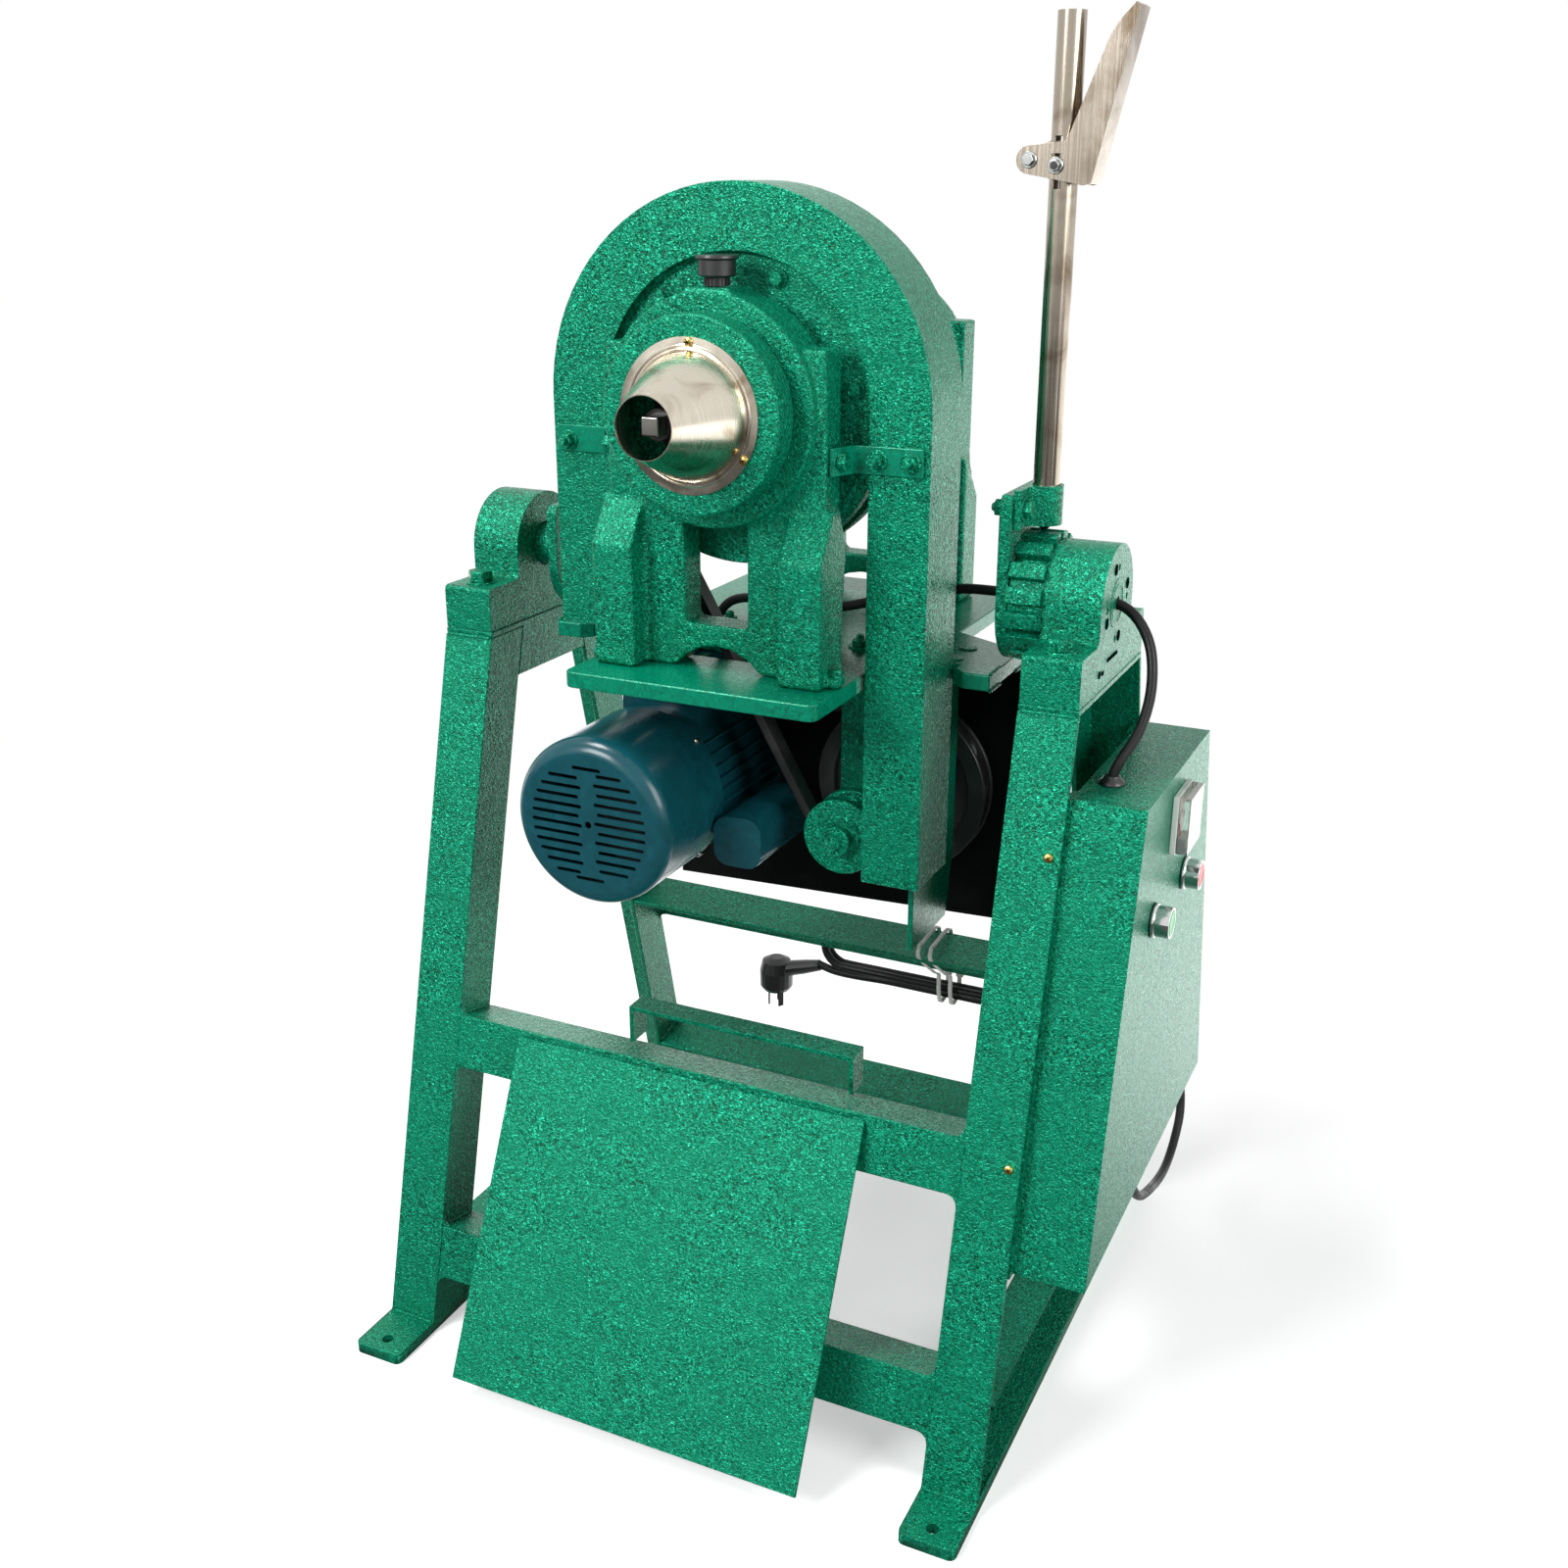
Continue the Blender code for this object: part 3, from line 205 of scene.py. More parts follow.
# Grain of moulded rubber and plastic: a light mottle of two shades, with dust in patches.
GRAIN, grain_in, grain_out = effect("moulded_grain", ("Shade", "Dust"), {"Grain": 900.0},
                                    ("Color", "Height", "Dull"))
grain_at = shade(GRAIN, "TexCoord", {})["Object"]
grain_fine = noise(GRAIN, grain_at, grain_in.outputs["Grain"], 2.0)
grain_patch = noise(GRAIN, grain_at, 22.0, 3.0, 0.6)
feed(GRAIN, grain_out, {"Color": blend_colour(GRAIN, spread(GRAIN, grain_patch, 0.42, 0.78),
                                              grain_in.outputs["Shade"],
                                              grain_in.outputs["Dust"]),
                        "Height": grain_fine,
                        "Dull": spread(GRAIN, grain_patch, 0.3, 0.8, 0.34, 0.62)})


SLOTS = {}


def painted(name, group, settings, rough=None, metallic=0.0, coat=0.0, bump=0.2, depth=0.0003,
            gloss=0.5, slot=None):
    """A material whose colour, gloss and relief come from an effect with its own values."""
    made = bpy.data.materials.new(name)
    made.use_nodes = True
    tree = made.node_tree
    shader = tree.nodes["Principled BSDF"]
    node = tree.nodes.new("ShaderNodeGroup")
    node.node_tree = group
    feed(tree, node, settings)
    relief = shade(tree, "Bump", {"Strength": bump, "Distance": depth,
                                  "Height": node.outputs["Height"]})
    feed(tree, shader, {"Base Color": node.outputs["Color"], "Metallic": metallic,
                        "Roughness": node.outputs["Dull"] if rough is None else rough,
                        "Coat Weight": coat, "Coat Roughness": 0.06,
                        "Specular IOR Level": gloss, "Normal": relief["Normal"]})
    SLOTS[made.name] = slot
    return made


def grained(name, main, dust, grain, **more):
    """A material of the moulded grain, in two shades."""
    return painted(name, GRAIN, {"Shade": tint(*main), "Dust": tint(*dust), "Grain": grain},
                   **more)


FLEX = grained("cord_rubber", (20, 20, 21), (34, 35, 36), 1400.0, bump=0.15, depth=0.0002,
               gloss=0.22)


def smooth_route(points, count):
    """Evenly counted points on a smooth curve through a route's own points."""
    route = [Vector(point) for point in points]
    ends = [route[0] * 2 - route[1]] + route + [route[-1] * 2 - route[-2]]
    spans = len(route) - 1
    smooth = []
    for i in range(count):
        place = i * spans / (count - 1)
        span = min(int(place), spans - 1)
        t = place - span
        a, b, c, d = ends[span:span + 4]
        smooth.append(0.5 * (2 * b + (c - a) * t + (2 * a - 5 * b + 4 * c - d) * t ** 2
                             + (3 * b - a - 3 * c + d) * t ** 3))
    return smooth


def cable(name, route, radius, count, body, paint, stands_for):
    """A round cable along a route given from the machine's middle."""
    curve = bpy.data.curves.new(name, "CURVE")
    curve.dimensions = "3D"
    curve.bevel_depth = radius
    curve.bevel_resolution = 4
    curve.use_fill_caps = True
    spline = curve.splines.new("POLY")
    spline.points.add(count - 1)
    for point, place in zip(spline.points, smooth_route(route, count)):
        point.co = (*(place + HOME), 1.0)
    curve.materials.append(paint)
    piece = show(name, curve)
    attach(piece, body)
    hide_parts(*stands_for)
    return piece


def fold(x, z, radius, start, end, low_y, high_y, steps=8):
    """Route points round one end of the hank, in degrees from +X towards +Z."""
    points = []
    for i in range(steps + 1):
        share = i / steps
        angle = math.radians(start + (end - start) * share)
        points.append((x + radius * math.cos(angle), low_y + (high_y - low_y) * share,
                       z + radius * math.sin(angle)))
    return points


hank_left, hank_right, hank_middle, hank_fold = -0.0275, 0.1775, 0.2508, 0.0228
CORD_ROUTE = ([(0.345, 0.025, 0.199), (0.345, 0.025, 0.188), (0.345, 0.0265, 0.176),
               (0.345, 0.036, 0.154), (0.345, 0.075, 0.123), (0.345, 0.135, 0.0995),
               (0.345, 0.185, 0.09), (0.345, 0.223, 0.101), (0.344, 0.247, 0.128),
               (0.336, 0.254, 0.166), (0.314, 0.249, 0.205), (0.28, 0.237, 0.234),
               (0.248, 0.224, 0.2475), (0.222, 0.215, 0.249), (0.203, 0.2115, 0.243),
               (0.185, 0.211, 0.233), (0.165, 0.211, 0.2285)]
              + [(x, 0.211, 0.228) for x in (0.13, 0.09, 0.05, 0.01)]
              + fold(hank_left, hank_middle, hank_fold, 270, 90, 0.211, 0.211)
              + [(x, 0.211, 0.2736) for x in (0.01, 0.05, 0.09, 0.13)]
              + fold(hank_right, hank_middle, hank_fold, 90, -90, 0.211, 0.22)
              + [(x, 0.22, 0.228) for x in (0.13, 0.09, 0.05, 0.01)]
              + fold(hank_left, hank_middle, hank_fold, 270, 90, 0.22, 0.22)
              + [(x, 0.22, 0.2736) for x in (0.01, 0.05, 0.09, 0.13, 0.16)]
              + [(0.18, 0.2215, 0.2733), (0.195, 0.2238, 0.2672), (0.204, 0.2245, 0.256),
                 (0.2055, 0.2245, 0.244), (0.2, 0.2235, 0.231), (0.189, 0.2215, 0.222),
                 (0.172, 0.22, 0.2187)]
              + [(x, 0.2175, 0.2186) for x in (0.14, 0.1, 0.06, 0.02)]
              + [(-0.015, 0.216, 0.2178), (-0.04, 0.2155, 0.2185), (-0.06, 0.2155, 0.2228)])
mains_cord = cable("power_cord", CORD_ROUTE, 0.0045, 640, "stand", FLEX,
                   ("mains_cord", "cord_hank"))

# ---- Plug, strain relief and ties -----------------------------------------------------------
# Moulded angled plug with three flat brass pins, the tapered sleeve where the flex leaves the
# box, and two white nylon ties that hold the hank to the rear bar.


def dress(mesh, paint):
    """Gives a mesh its one material."""
    mesh.materials.clear()
    mesh.materials.append(paint)


def baked(piece):
    """A piece's mesh with its modifiers applied."""
    bpy.context.view_layer.update()
    graph = bpy.context.evaluated_depsgraph_get()
    return bpy.data.meshes.new_from_object(piece.evaluated_get(graph))


def spoke(turn):
    """The unit vector at an angle in degrees, from +X towards +Z."""
    angle = math.radians(turn)
    return Vector((math.cos(angle), 0, math.sin(angle)))


def keep(name, bm, body, paint, slot=None, stands_for=(), crease=38, weld=1e-5, even=True):
    """Closes a bmesh into a piece that rides on a body."""
    bmesh.ops.remove_doubles(bm, verts=bm.verts, dist=weld)
    bmesh.ops.recalc_face_normals(bm, faces=bm.faces)
    mesh = bpy.data.meshes.new(name)
    bm.to_mesh(mesh)
    bm.free()
    mesh.shade_smooth()
    mesh.set_sharp_from_angle(angle=math.radians(crease))
    mesh.materials.append(paint)
    piece = show(name, mesh)
    if even:
        level = piece.modifiers.new("even_light", "WEIGHTED_NORMAL")
        level.keep_sharp = True
        level.weight = 80
    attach(piece, body)
    slot = slot or SLOTS.get(paint.name)
    if stands_for:
        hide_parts(*stands_for)
    return piece


def lathe(bm, profile, centre, axis, steps=64):
    """Turns a profile of (radius, height) points about an axis, closed where it is off it."""
    side = X if abs(axis.x) < 0.5 else Y
    side = (side - axis * side.dot(axis)).normalized()
    ring = [bm.verts.new(Vector(centre) + side * r + axis * h) for r, h in profile]
    edges = [bm.edges.new(pair) for pair in zip(ring, ring[1:])]
    if profile[0][0] > 0:
        edges.append(bm.edges.new((ring[-1], ring[0])))
    bmesh.ops.spin(bm, geom=ring + edges, cent=centre, axis=axis, dvec=(0, 0, 0),
                   angle=2 * math.pi, steps=steps, use_merge=True, use_duplicate=False)


def settle(name, bm, *rest, **more):
    """The same for a bmesh made from the machine's middle."""
    bmesh.ops.translate(bm, verts=bm.verts, vec=HOME)
    return keep(name, bm, *rest, **more)


def turned(name, profile, centre, axis, steps, *rest, **more):
    """A piece turned from one profile, made from the machine's middle."""
    bm = bmesh.new()
    lathe(bm, profile, centre, axis, steps)
    return settle(name, bm, *rest, **more)


def grow(bm, face, travel):
    """Carries a copy of a face along a travel, walled in; gives the new parts."""
    made = bmesh.ops.extrude_face_region(bm, geom=[face])["geom"]
    bmesh.ops.translate(bm, verts=[v for v in made if isinstance(v, bmesh.types.BMVert)],
                        vec=travel)
    return made


def round_off(bm, edges, width, segments):
    """Eases edges by a width."""
    bmesh.ops.bevel(bm, geom=edges, offset=width, segments=segments, profile=0.5,
                    affect="EDGES", material=-1, clamp_overlap=True)


def prism(bm, outline, travel, rim=0.0, segments=2):
    """A closed outline carried along a travel, with eased edges."""
    before = set(bm.faces)
    grow(bm, bm.faces.new([bm.verts.new(point) for point in outline]), travel)
    if rim:
        made = [f for f in bm.faces if f not in before]
        hard = {e for f in made for e in f.edges
                if e.is_manifold and e.calc_face_angle(0) > math.radians(30)}
        round_off(bm, list(hard), rim, segments)


def round_points(centre, radius, start, end, steps):
    """Points on an arc in degrees, its ends included."""
    return [(centre[0] + radius * math.cos(math.radians(start + (end - start) * i / steps)),
             centre[1] + radius * math.sin(math.radians(start + (end - start) * i / steps)))
            for i in range(steps + 1)]


def slab(low, high, radius, steps=4):
    """A rectangle's outline with round corners."""
    return (round_points((high[0] - radius, high[1] - radius), radius, 0, 90, steps)
            + round_points((low[0] + radius, high[1] - radius), radius, 90, 180, steps)
            + round_points((low[0] + radius, low[1] + radius), radius, 180, 270, steps)
            + round_points((high[0] - radius, low[1] + radius), radius, 270, 360, steps))


PLASTIC = grained("black_plastic", (20, 20, 21), (38, 38, 39), 1600.0, coat=0.25, bump=0.08,
                  depth=0.0001)
NYLON = grained("tie_nylon", (228, 228, 222), (206, 206, 198), 900.0, coat=0.1, bump=0.05)

relief = bmesh.new()
sleeve = [(0.0052, 0.004), (0.0098, 0.004), (0.0104, 0.001), (0.0104, -0.0045)]
for rib in range(6):
    sleeve += [(0.0086 - rib * 0.0004, -0.005 - rib * 0.0036),
               (0.0086 - rib * 0.0004, -0.0072 - rib * 0.0036),
               (0.0074 - rib * 0.0004, -0.0076 - rib * 0.0036),
               (0.0074 - rib * 0.0004, -0.0085 - rib * 0.0036)]
sleeve += [(0.005, -0.0275)]
lathe(relief, sleeve, (0.345, 0.0253, 0.2 - 0.0005), Z, 40)
settle("cord_strain_relief", relief, "stand", PLASTIC, "black_rubber", ("mains_gland",))


def soften(node, body, paint, width=0.0008, segments=3, slot=None, sharp=30, merge=2e-5):
    """A merged copy of a node whose hard edges are eased, or kept where the width is 0."""
    bm = bmesh.new()
    bm.from_mesh(frame["nodes"][node].data)
    bmesh.ops.remove_doubles(bm, verts=bm.verts, dist=merge)
    if width:
        bmesh.ops.dissolve_limit(bm, angle_limit=math.radians(1.0), verts=bm.verts,
                                 edges=bm.edges)
        hard = [e for e in bm.edges if e.is_manifold
                and e.calc_face_angle(0) > math.radians(sharp)]
        round_off(bm, hard, width, segments)
    return keep(node + "_eased", bm, body, paint, slot, (node,))


for turn, place in enumerate((0.088, 0.101)):
    tie = bmesh.new()
    tie_outer = [(0.1345, 0.3105), (0.187, 0.311), (0.1985, 0.29), (0.2262, 0.27),
                 (0.2275, 0.248), (0.2262, 0.218), (0.206, 0.2125), (0.198, 0.23),
                 (0.1962, 0.25), (0.183, 0.258), (0.1345, 0.296)]
    loop = smooth_route([(place + 0.004 * turn, y, z) for y, z in tie_outer + tie_outer[:1]], 60)
    prism(tie, [Vector((place - 0.0022, p.y, p.z)) for p in loop[:-1]], X * 0.0044)
    caps = [f for f in tie.faces if len(f.verts) > 4]
    bmesh.ops.delete(tie, geom=caps, context="FACES_ONLY")
    band = settle(f"cord_tie_{turn + 1}", tie, "stand", NYLON, "white_plastic")
    band.modifiers.clear()
    wall = band.modifiers.new("strip", "SOLIDIFY")
    wall.thickness = 0.0012
    head = bmesh.new()
    prism(head, [(place - 0.004, 0.2265, 0.236), (place + 0.004, 0.2265, 0.236),
                 (place + 0.004, 0.2325, 0.236), (place - 0.004, 0.2325, 0.236)],
          Z * 0.006, 0.0008)
    settle(f"cord_tie_head_{turn + 1}", head, "stand", NYLON, "white_plastic")

# ---- Hammered enamel ------------------------------------------------------------------------
# The whole machine is sprayed with green hammer-finish enamel: a worm-like net of dark lines
# round glossy pale islands, a few millimetres across, that also shows in the relief. The pale
# colour follows the raised islands and the dark the hollows: partly the enamel's own two tones,
# partly painted highlight and painted shade.

HAMMER, hammer_in, hammer_out = effect("hammer_enamel", ("Deep", "Body", "Island_Highlight"),
                                       {"Grain": 230.0, "Contrast": 1.0},
                                       ("Color", "Height", "Dull"))
hammer_at = shade(HAMMER, "TexCoord", {})["Object"]
hammer_worm = noise(HAMMER, hammer_at, hammer_in.outputs["Grain"], 1.6, 1.1)
hammer_patch = noise(HAMMER, hammer_at, 14.0, 2.5, 0.4)
hammer_flow = noise(HAMMER, hammer_at, 46.0, 2.0)
hammer_much = shade(HAMMER, "Math", {0: hammer_in.outputs["Contrast"],
                                     1: spread(HAMMER, hammer_patch, 0.34, 0.64, 0.45, 1.0)},
                    "MULTIPLY")[0]
# The dark colour goes on the hollows of the worm relief and the pale colour on its raised islands:
# partly the enamel's own tones, partly painted shade and painted highlight.
hammer_hollow_shade_mask = shade(HAMMER, "Math", {0: spread(HAMMER, hammer_worm, 0.5, 0.36),
                                    1: hammer_much}, "MULTIPLY")[0]
hammer_highlight_mask = shade(HAMMER, "Math", {0: spread(HAMMER, hammer_worm, 0.52, 0.72),
                                     1: hammer_much}, "MULTIPLY")[0]
hammer_tone = blend_colour(HAMMER, hammer_hollow_shade_mask, hammer_in.outputs["Body"],
                           hammer_in.outputs["Deep"])
hammer_relief = shade(HAMMER, "Math", {0: hammer_flow, 1: 0.7, 2: hammer_worm}, "MULTIPLY_ADD")
feed(HAMMER, hammer_out, {"Color": blend_colour(HAMMER, hammer_highlight_mask, hammer_tone,
                                                hammer_in.outputs["Island_Highlight"]),
                          "Height": hammer_relief[0],
                          "Dull": spread(HAMMER, hammer_worm, 0.35, 0.7, 0.3, 0.17)})

ENAMEL = painted("hammered_green", HAMMER,
                 {"Deep": tint(0, 72, 52), "Body": tint(0, 124, 92), "Island_Highlight": tint(26, 178, 138),
                  "Grain": 400.0, "Contrast": 1.0},
                 metallic=0.35, bump=1.0, depth=0.0015, gloss=0.2, slot="hammered_green")
SLEEK = painted("sleek_green", HAMMER,
                {"Deep": tint(0, 96, 72), "Body": tint(0, 126, 96), "Island_Highlight": tint(14, 150, 116),
                 "Grain": 300.0, "Contrast": 0.8},
                metallic=0.2, bump=0.25, depth=0.0006, gloss=0.3, slot="hammered_green")

# ---- Stand ----------------------------------------------------------------------------------
# Four legs of 50 mm angle steel leaning together in pairs, with crossbars, head rails and flat
# floor runners of the same stock. It is arc welded, its inner corners dressed to a fillet.

for side in ("left", "right"):
    for end in ("front", "rear"):
        soften(f"leg_{end}_{side}", "stand", ENAMEL, 0.001)
    soften("top_rail_" + side, "stand", ENAMEL, 0.001)
    soften("floor_runner_" + side, "stand", ENAMEL, 0.0)
for end in ("front", "rear"):
    for level in ("upper", "lower"):
        soften(f"crossbar_{end}_{level}", "stand", ENAMEL, 0.001)

lean_run = 0.161 / 0.645
lean = math.atan(lean_run)


def panel_y(z):
    """The outer face of the front or rear panel, from the middle."""
    return 0.259 - (z - 0.01) * lean_run


def weld_bead(bm, start, end, radius=0.0017, pitch=0.0032):
    """A rippled bead along a joint."""
    start, end = Vector(start), Vector(end)
    along = end - start
    count = max(3, int(along.length / pitch) * 2)
    made = bmesh.ops.create_circle(bm, cap_ends=True, segments=8, radius=radius * 0.4)["verts"]
    turn = Z.rotation_difference(along.normalized()).to_matrix()
    bmesh.ops.rotate(bm, verts=made, cent=(0, 0, 0), matrix=turn)
    bmesh.ops.translate(bm, verts=made, vec=start)
    tip = made[0].link_faces[0]
    size = 0.4
    for i in range(1, count + 1):
        tip = bmesh.ops.extrude_discrete_faces(bm, faces=[tip])["faces"][0]
        goal = 0.4 if i == count else (1.0 if i % 2 else 0.82)
        bmesh.ops.translate(bm, verts=tip.verts, vec=along / count)
        middle = start + along * i / count
        for vert in tip.verts:
            vert.co = middle + (vert.co - middle) * (goal / size)
        size = goal


def close_ends(bm):
    """Fills the open start of each bead."""
    bmesh.ops.holes_fill(bm, edges=[e for e in bm.edges if e.is_boundary], sides=8)


beads = bmesh.new()
gussets = bmesh.new()
for end in (-1, 1):
    up = Vector((0, -end * math.sin(lean), math.cos(lean)))
    inward = Vector((0, -end * math.cos(lean), -math.sin(lean)))
    for top in (0.307, 0.105):
        for side in (-1, 1):
            corner = Vector((side * 0.25, end * panel_y(top), top))
            foot = corner - up * 0.05
            weld_bead(beads, corner + inward * 0.0002, foot + inward * 0.0002)
            weld_bead(beads, corner + inward * 0.006 + up * 0.0004,
                      corner + inward * 0.046 + up * 0.0004)
            for base, rise in ((corner, up), (foot, -up)):
                arc = ([(0, 0), (0.0095, 0)]
                       + round_points((0.0095, 0.0095), 0.0095, 255, 195, 5) + [(0, 0.0095)])
                prism(gussets, [base + inward * 0.0004 - X * side * (a + 0.0001) + rise * b
                                for a, b in arc], inward * 0.0044, 0.0006)
for side in (-1, 1):
    for end in (-1, 1):
        for x in (0.251, 0.299):
            weld_bead(beads, (side * x, end * (panel_y(0.01) + 0.0006), 0.0106),
                      (side * x, end * (panel_y(0.01) - 0.046), 0.0106), 0.0013)
        weld_bead(beads, (side * 0.252, end * (panel_y(0.01) + 0.0006), 0.0106),
                  (side * 0.298, end * (panel_y(0.01) + 0.0006), 0.0106), 0.0015)
        weld_bead(beads, (side * 0.252, end * (panel_y(0.65) + 0.0002), 0.65),
                  (side * 0.298, end * (panel_y(0.65) + 0.0002), 0.65), 0.0014)
close_ends(beads)
settle("weld_beads", beads, "stand", ENAMEL, even=False)
settle("dressed_corners", gussets, "stand", ENAMEL)

# ---- Bearing blocks and index ring ----------------------------------------------------------
# Cast pillow blocks with a round back, bolted to the head rails by a hexagon bolt at each foot.
# The right one carries the notched ring that the handle's pin locks into.


def fastener(bm, at, axis, across, tall, turn=0.0, washer=0.0, stud=0.0):
    """A hexagon head or nut on a face, with an optional washer under it and stud end on top."""
    axis = Vector(axis).normalized()
    made = bmesh.new()
    base = 0.0
    if washer:
        lathe(made, [(0, 0), (washer, 0), (washer, 0.001), (washer - 0.0005, 0.0015),
                     (0, 0.0015)], (0, 0, 0), Z, 28)
        base = 0.0015
    hexagon = bmesh.ops.create_circle(made, cap_ends=True, segments=6,
                                      radius=across / math.sqrt(3))["verts"]
    face = hexagon[0].link_faces[0]
    bmesh.ops.translate(made, verts=hexagon, vec=Z * base)
    grown = grow(made, face, Z * tall * 0.86)
    top = [v for v in grown if isinstance(v, bmesh.types.BMVert)]
    cap = [f for f in grown if isinstance(f, bmesh.types.BMFace)][0]
    bmesh.ops.inset_region(made, faces=[cap], thickness=across * 0.055, depth=tall * 0.14)
    round_off(made, list({e for v in hexagon + top for e in v.link_edges}), across * 0.02, 1)
    if stud:
        r = across * 0.28
        lathe(made, [(0, base), (r, base), (r, base + tall + stud - r * 0.3),
                     (r * 0.75, base + tall + stud), (0, base + tall + stud)], (0, 0, 0), Z, 20)
    spin = Matrix.Rotation(math.radians(turn), 3, "Z")
    bmesh.ops.rotate(made, verts=made.verts, cent=(0, 0, 0), matrix=spin)
    bmesh.ops.rotate(made, verts=made.verts, cent=(0, 0, 0),
                     matrix=Z.rotation_difference(axis).to_matrix())
    bmesh.ops.translate(made, verts=made.verts, vec=at)
    scrap = bpy.data.meshes.new("scrap")
    made.to_mesh(scrap)
    made.free()
    bm.from_mesh(scrap)
    bpy.data.meshes.remove(scrap)


for side in ("left", "right"):
    soften("bearing_block_" + side, "stand", ENAMEL, 0.0014, 3)
soften("index_ring", "stand", ENAMEL, 0.0007, 2)

bolts = bmesh.new()
for side in (-1, 1):
    for y in (-0.075, 0.075):
        fastener(bolts, (side * 0.275, y, 0.695), Z, 0.02, 0.01, 14 * side, 0.014)
        fastener(bolts, (side * 0.275, y, 0.6498), -Z, 0.02, 0.01, 40, 0.0135, 0.005)
settle("block_bolts", bolts, "stand", ENAMEL)

# The right trunnion's hollow is closed by a turned cap round the lead, with four tapped holes
# outside it; a saw cut and two casting flaws mark the foot. The holes, the cut and the flaws
# are drawn as thin near-black marks of painted shade in place of their depth.
block_face = 0.2996
turned("trunnion_cap",
       [(0.0058, 0.0002), (0.015, 0.0002), (0.0157, 0.0007), (0.0162, 0.0007), (0.0172, 0.0002),
        (0.0205, 0.0002), (0.0205, -0.002), (0.0058, -0.002)], (block_face, 0, 0.72), X, 64,
       "stand", ENAMEL)
# Near-black and matt: painted shade for holes, cuts and recesses that are drawn as flat marks.
RECESS_SHADE = grained("painted_recess_shade", (3, 18, 14), (6, 26, 21), 700.0, rough=0.9, bump=0.1, gloss=0.0)
pits = bmesh.new()
for side in (-1, 1):
    for turn in range(4):
        angle = math.radians(90 * turn + 20)
        lathe(pits, [(0, 0), (0.0048, 0), (0.0046, 0.0003), (0, 0.0003)],
              (side * block_face, 0.0315 * math.cos(angle), 0.72 + 0.0315 * math.sin(angle)),
              X * side, 24)
for y, z, long, tall in ((-0.005, 0.6765, 0.016, 0.0016), (-0.043, 0.67, 0.003, 0.003),
                         (-0.033, 0.669, 0.0035, 0.0018)):
    prism(pits, [(block_face, y + a, z + b) for a, b in
                 slab((-long, -tall), (long, tall), tall * 0.6, 3)], X * 0.0003)
settle("block_drillings", pits, "stand", RECESS_SHADE, "hammered_green", even=False)

# ---- Discharge apron and tray bracket -------------------------------------------------------
# A folded sheet apron welded to the front bar, over which the charge slides out, and a bent
# flat bar behind it that holds the collecting tray.

soften("discharge_apron", "stand", ENAMEL, 0.0006, 2)
soften("tray_bracket", "stand", ENAMEL, 0.0006, 2)
seams = bmesh.new()
for x in (-0.16, -0.1, -0.035, 0.03, 0.095, 0.145):
    weld_bead(seams, (x - 0.012, -0.1893, 0.3078), (x + 0.012, -0.1893, 0.3078), 0.0011)
for x in (-0.084, 0.134):
    weld_bead(seams, (x, -0.148, 0.3077), (x, -0.1285, 0.3077), 0.0014)
close_ends(seams)
settle("apron_welds", seams, "stand", ENAMEL, even=False)

# ---- Control box ----------------------------------------------------------------------------
# A folded steel cover over the right legs, screwed through them with brass screws. It carries
# an ammeter, a red stop button and a green start button.

soften("control_box", "stand", ENAMEL, 0.0016, 3)
ZINC = grained("zinc_plate", (168, 170, 168), (120, 122, 122), 600.0, rough=0.34, metallic=1.0,
               bump=0.06, depth=0.0001)
soften("control_panel", "stand", ZINC, 0.0004, 1, slot="bright_steel")

lip = bmesh.new()
for end in (-1, 1):
    low, high = 0.2, 0.585
    prism(lip, [(0.2955, end * (panel_y(low) - 0.0052), low),
                (0.2955, end * (panel_y(high) - 0.0052), high),
                (0.2955, end * (panel_y(high) - 0.03), high),
                (0.2955, end * (panel_y(low) - 0.03), low)], X * 0.006)
settle("cover_lips", lip, "stand", ENAMEL, even=False)

BRASS = grained("brass_screw", (222, 190, 112), (176, 138, 74), 800.0, rough=0.26, metallic=1.0,
                bump=0.08, depth=0.0001)


def cross_screw(bm, at, axis, radius):
    """A pan-head screw with a cross recess."""
    axis = Vector(axis).normalized()
    lathe(bm, [(0, 0), (radius, 0), (radius, radius * 0.25), (radius * 0.86, radius * 0.52),
               (radius * 0.55, radius * 0.66), (0, radius * 0.7)], at, axis, 28)


def cross_slots(bm, at, axis, radius):
    """The cross recess on such a head, drawn as a thin raised cross for painted shade."""
    axis = Vector(axis).normalized()
    frame_turn = Z.rotation_difference(axis).to_matrix()
    for turn in (25, 115):
        spun = frame_turn @ Matrix.Rotation(math.radians(turn), 3, "Z")
        low, high = radius * 0.6, radius * 0.735
        corners = [(-radius * 0.58, -radius * 0.1), (radius * 0.58, -radius * 0.1),
                   (radius * 0.58, radius * 0.1), (-radius * 0.58, radius * 0.1)]
        prism(bm, [Vector(at) + spun @ Vector((a, b, low)) for a, b in corners],
              axis * (high - low))


screws, crosses = bmesh.new(), bmesh.new()
for z in (0.5405, 0.291):
    for end in (-1, 1):
        at = Vector((0.2905, end * panel_y(z), z))
        outward = Vector((0, end * math.cos(lean), math.sin(lean)))
        cross_screw(screws, at, outward, 0.004)
        cross_slots(crosses, at, outward, 0.004)
settle("cover_screws", screws, "stand", BRASS, "brass")
# The recesses are dark crosses of painted shade.
settle("cover_screw_slots", crosses, "stand", RECESS_SHADE, "brass", even=False)

# ---- Ammeter --------------------------------------------------------------------------------
# A 52 mm square panel meter: white moulded case, printed dial, red needle and a clear cover
# with a white band below.

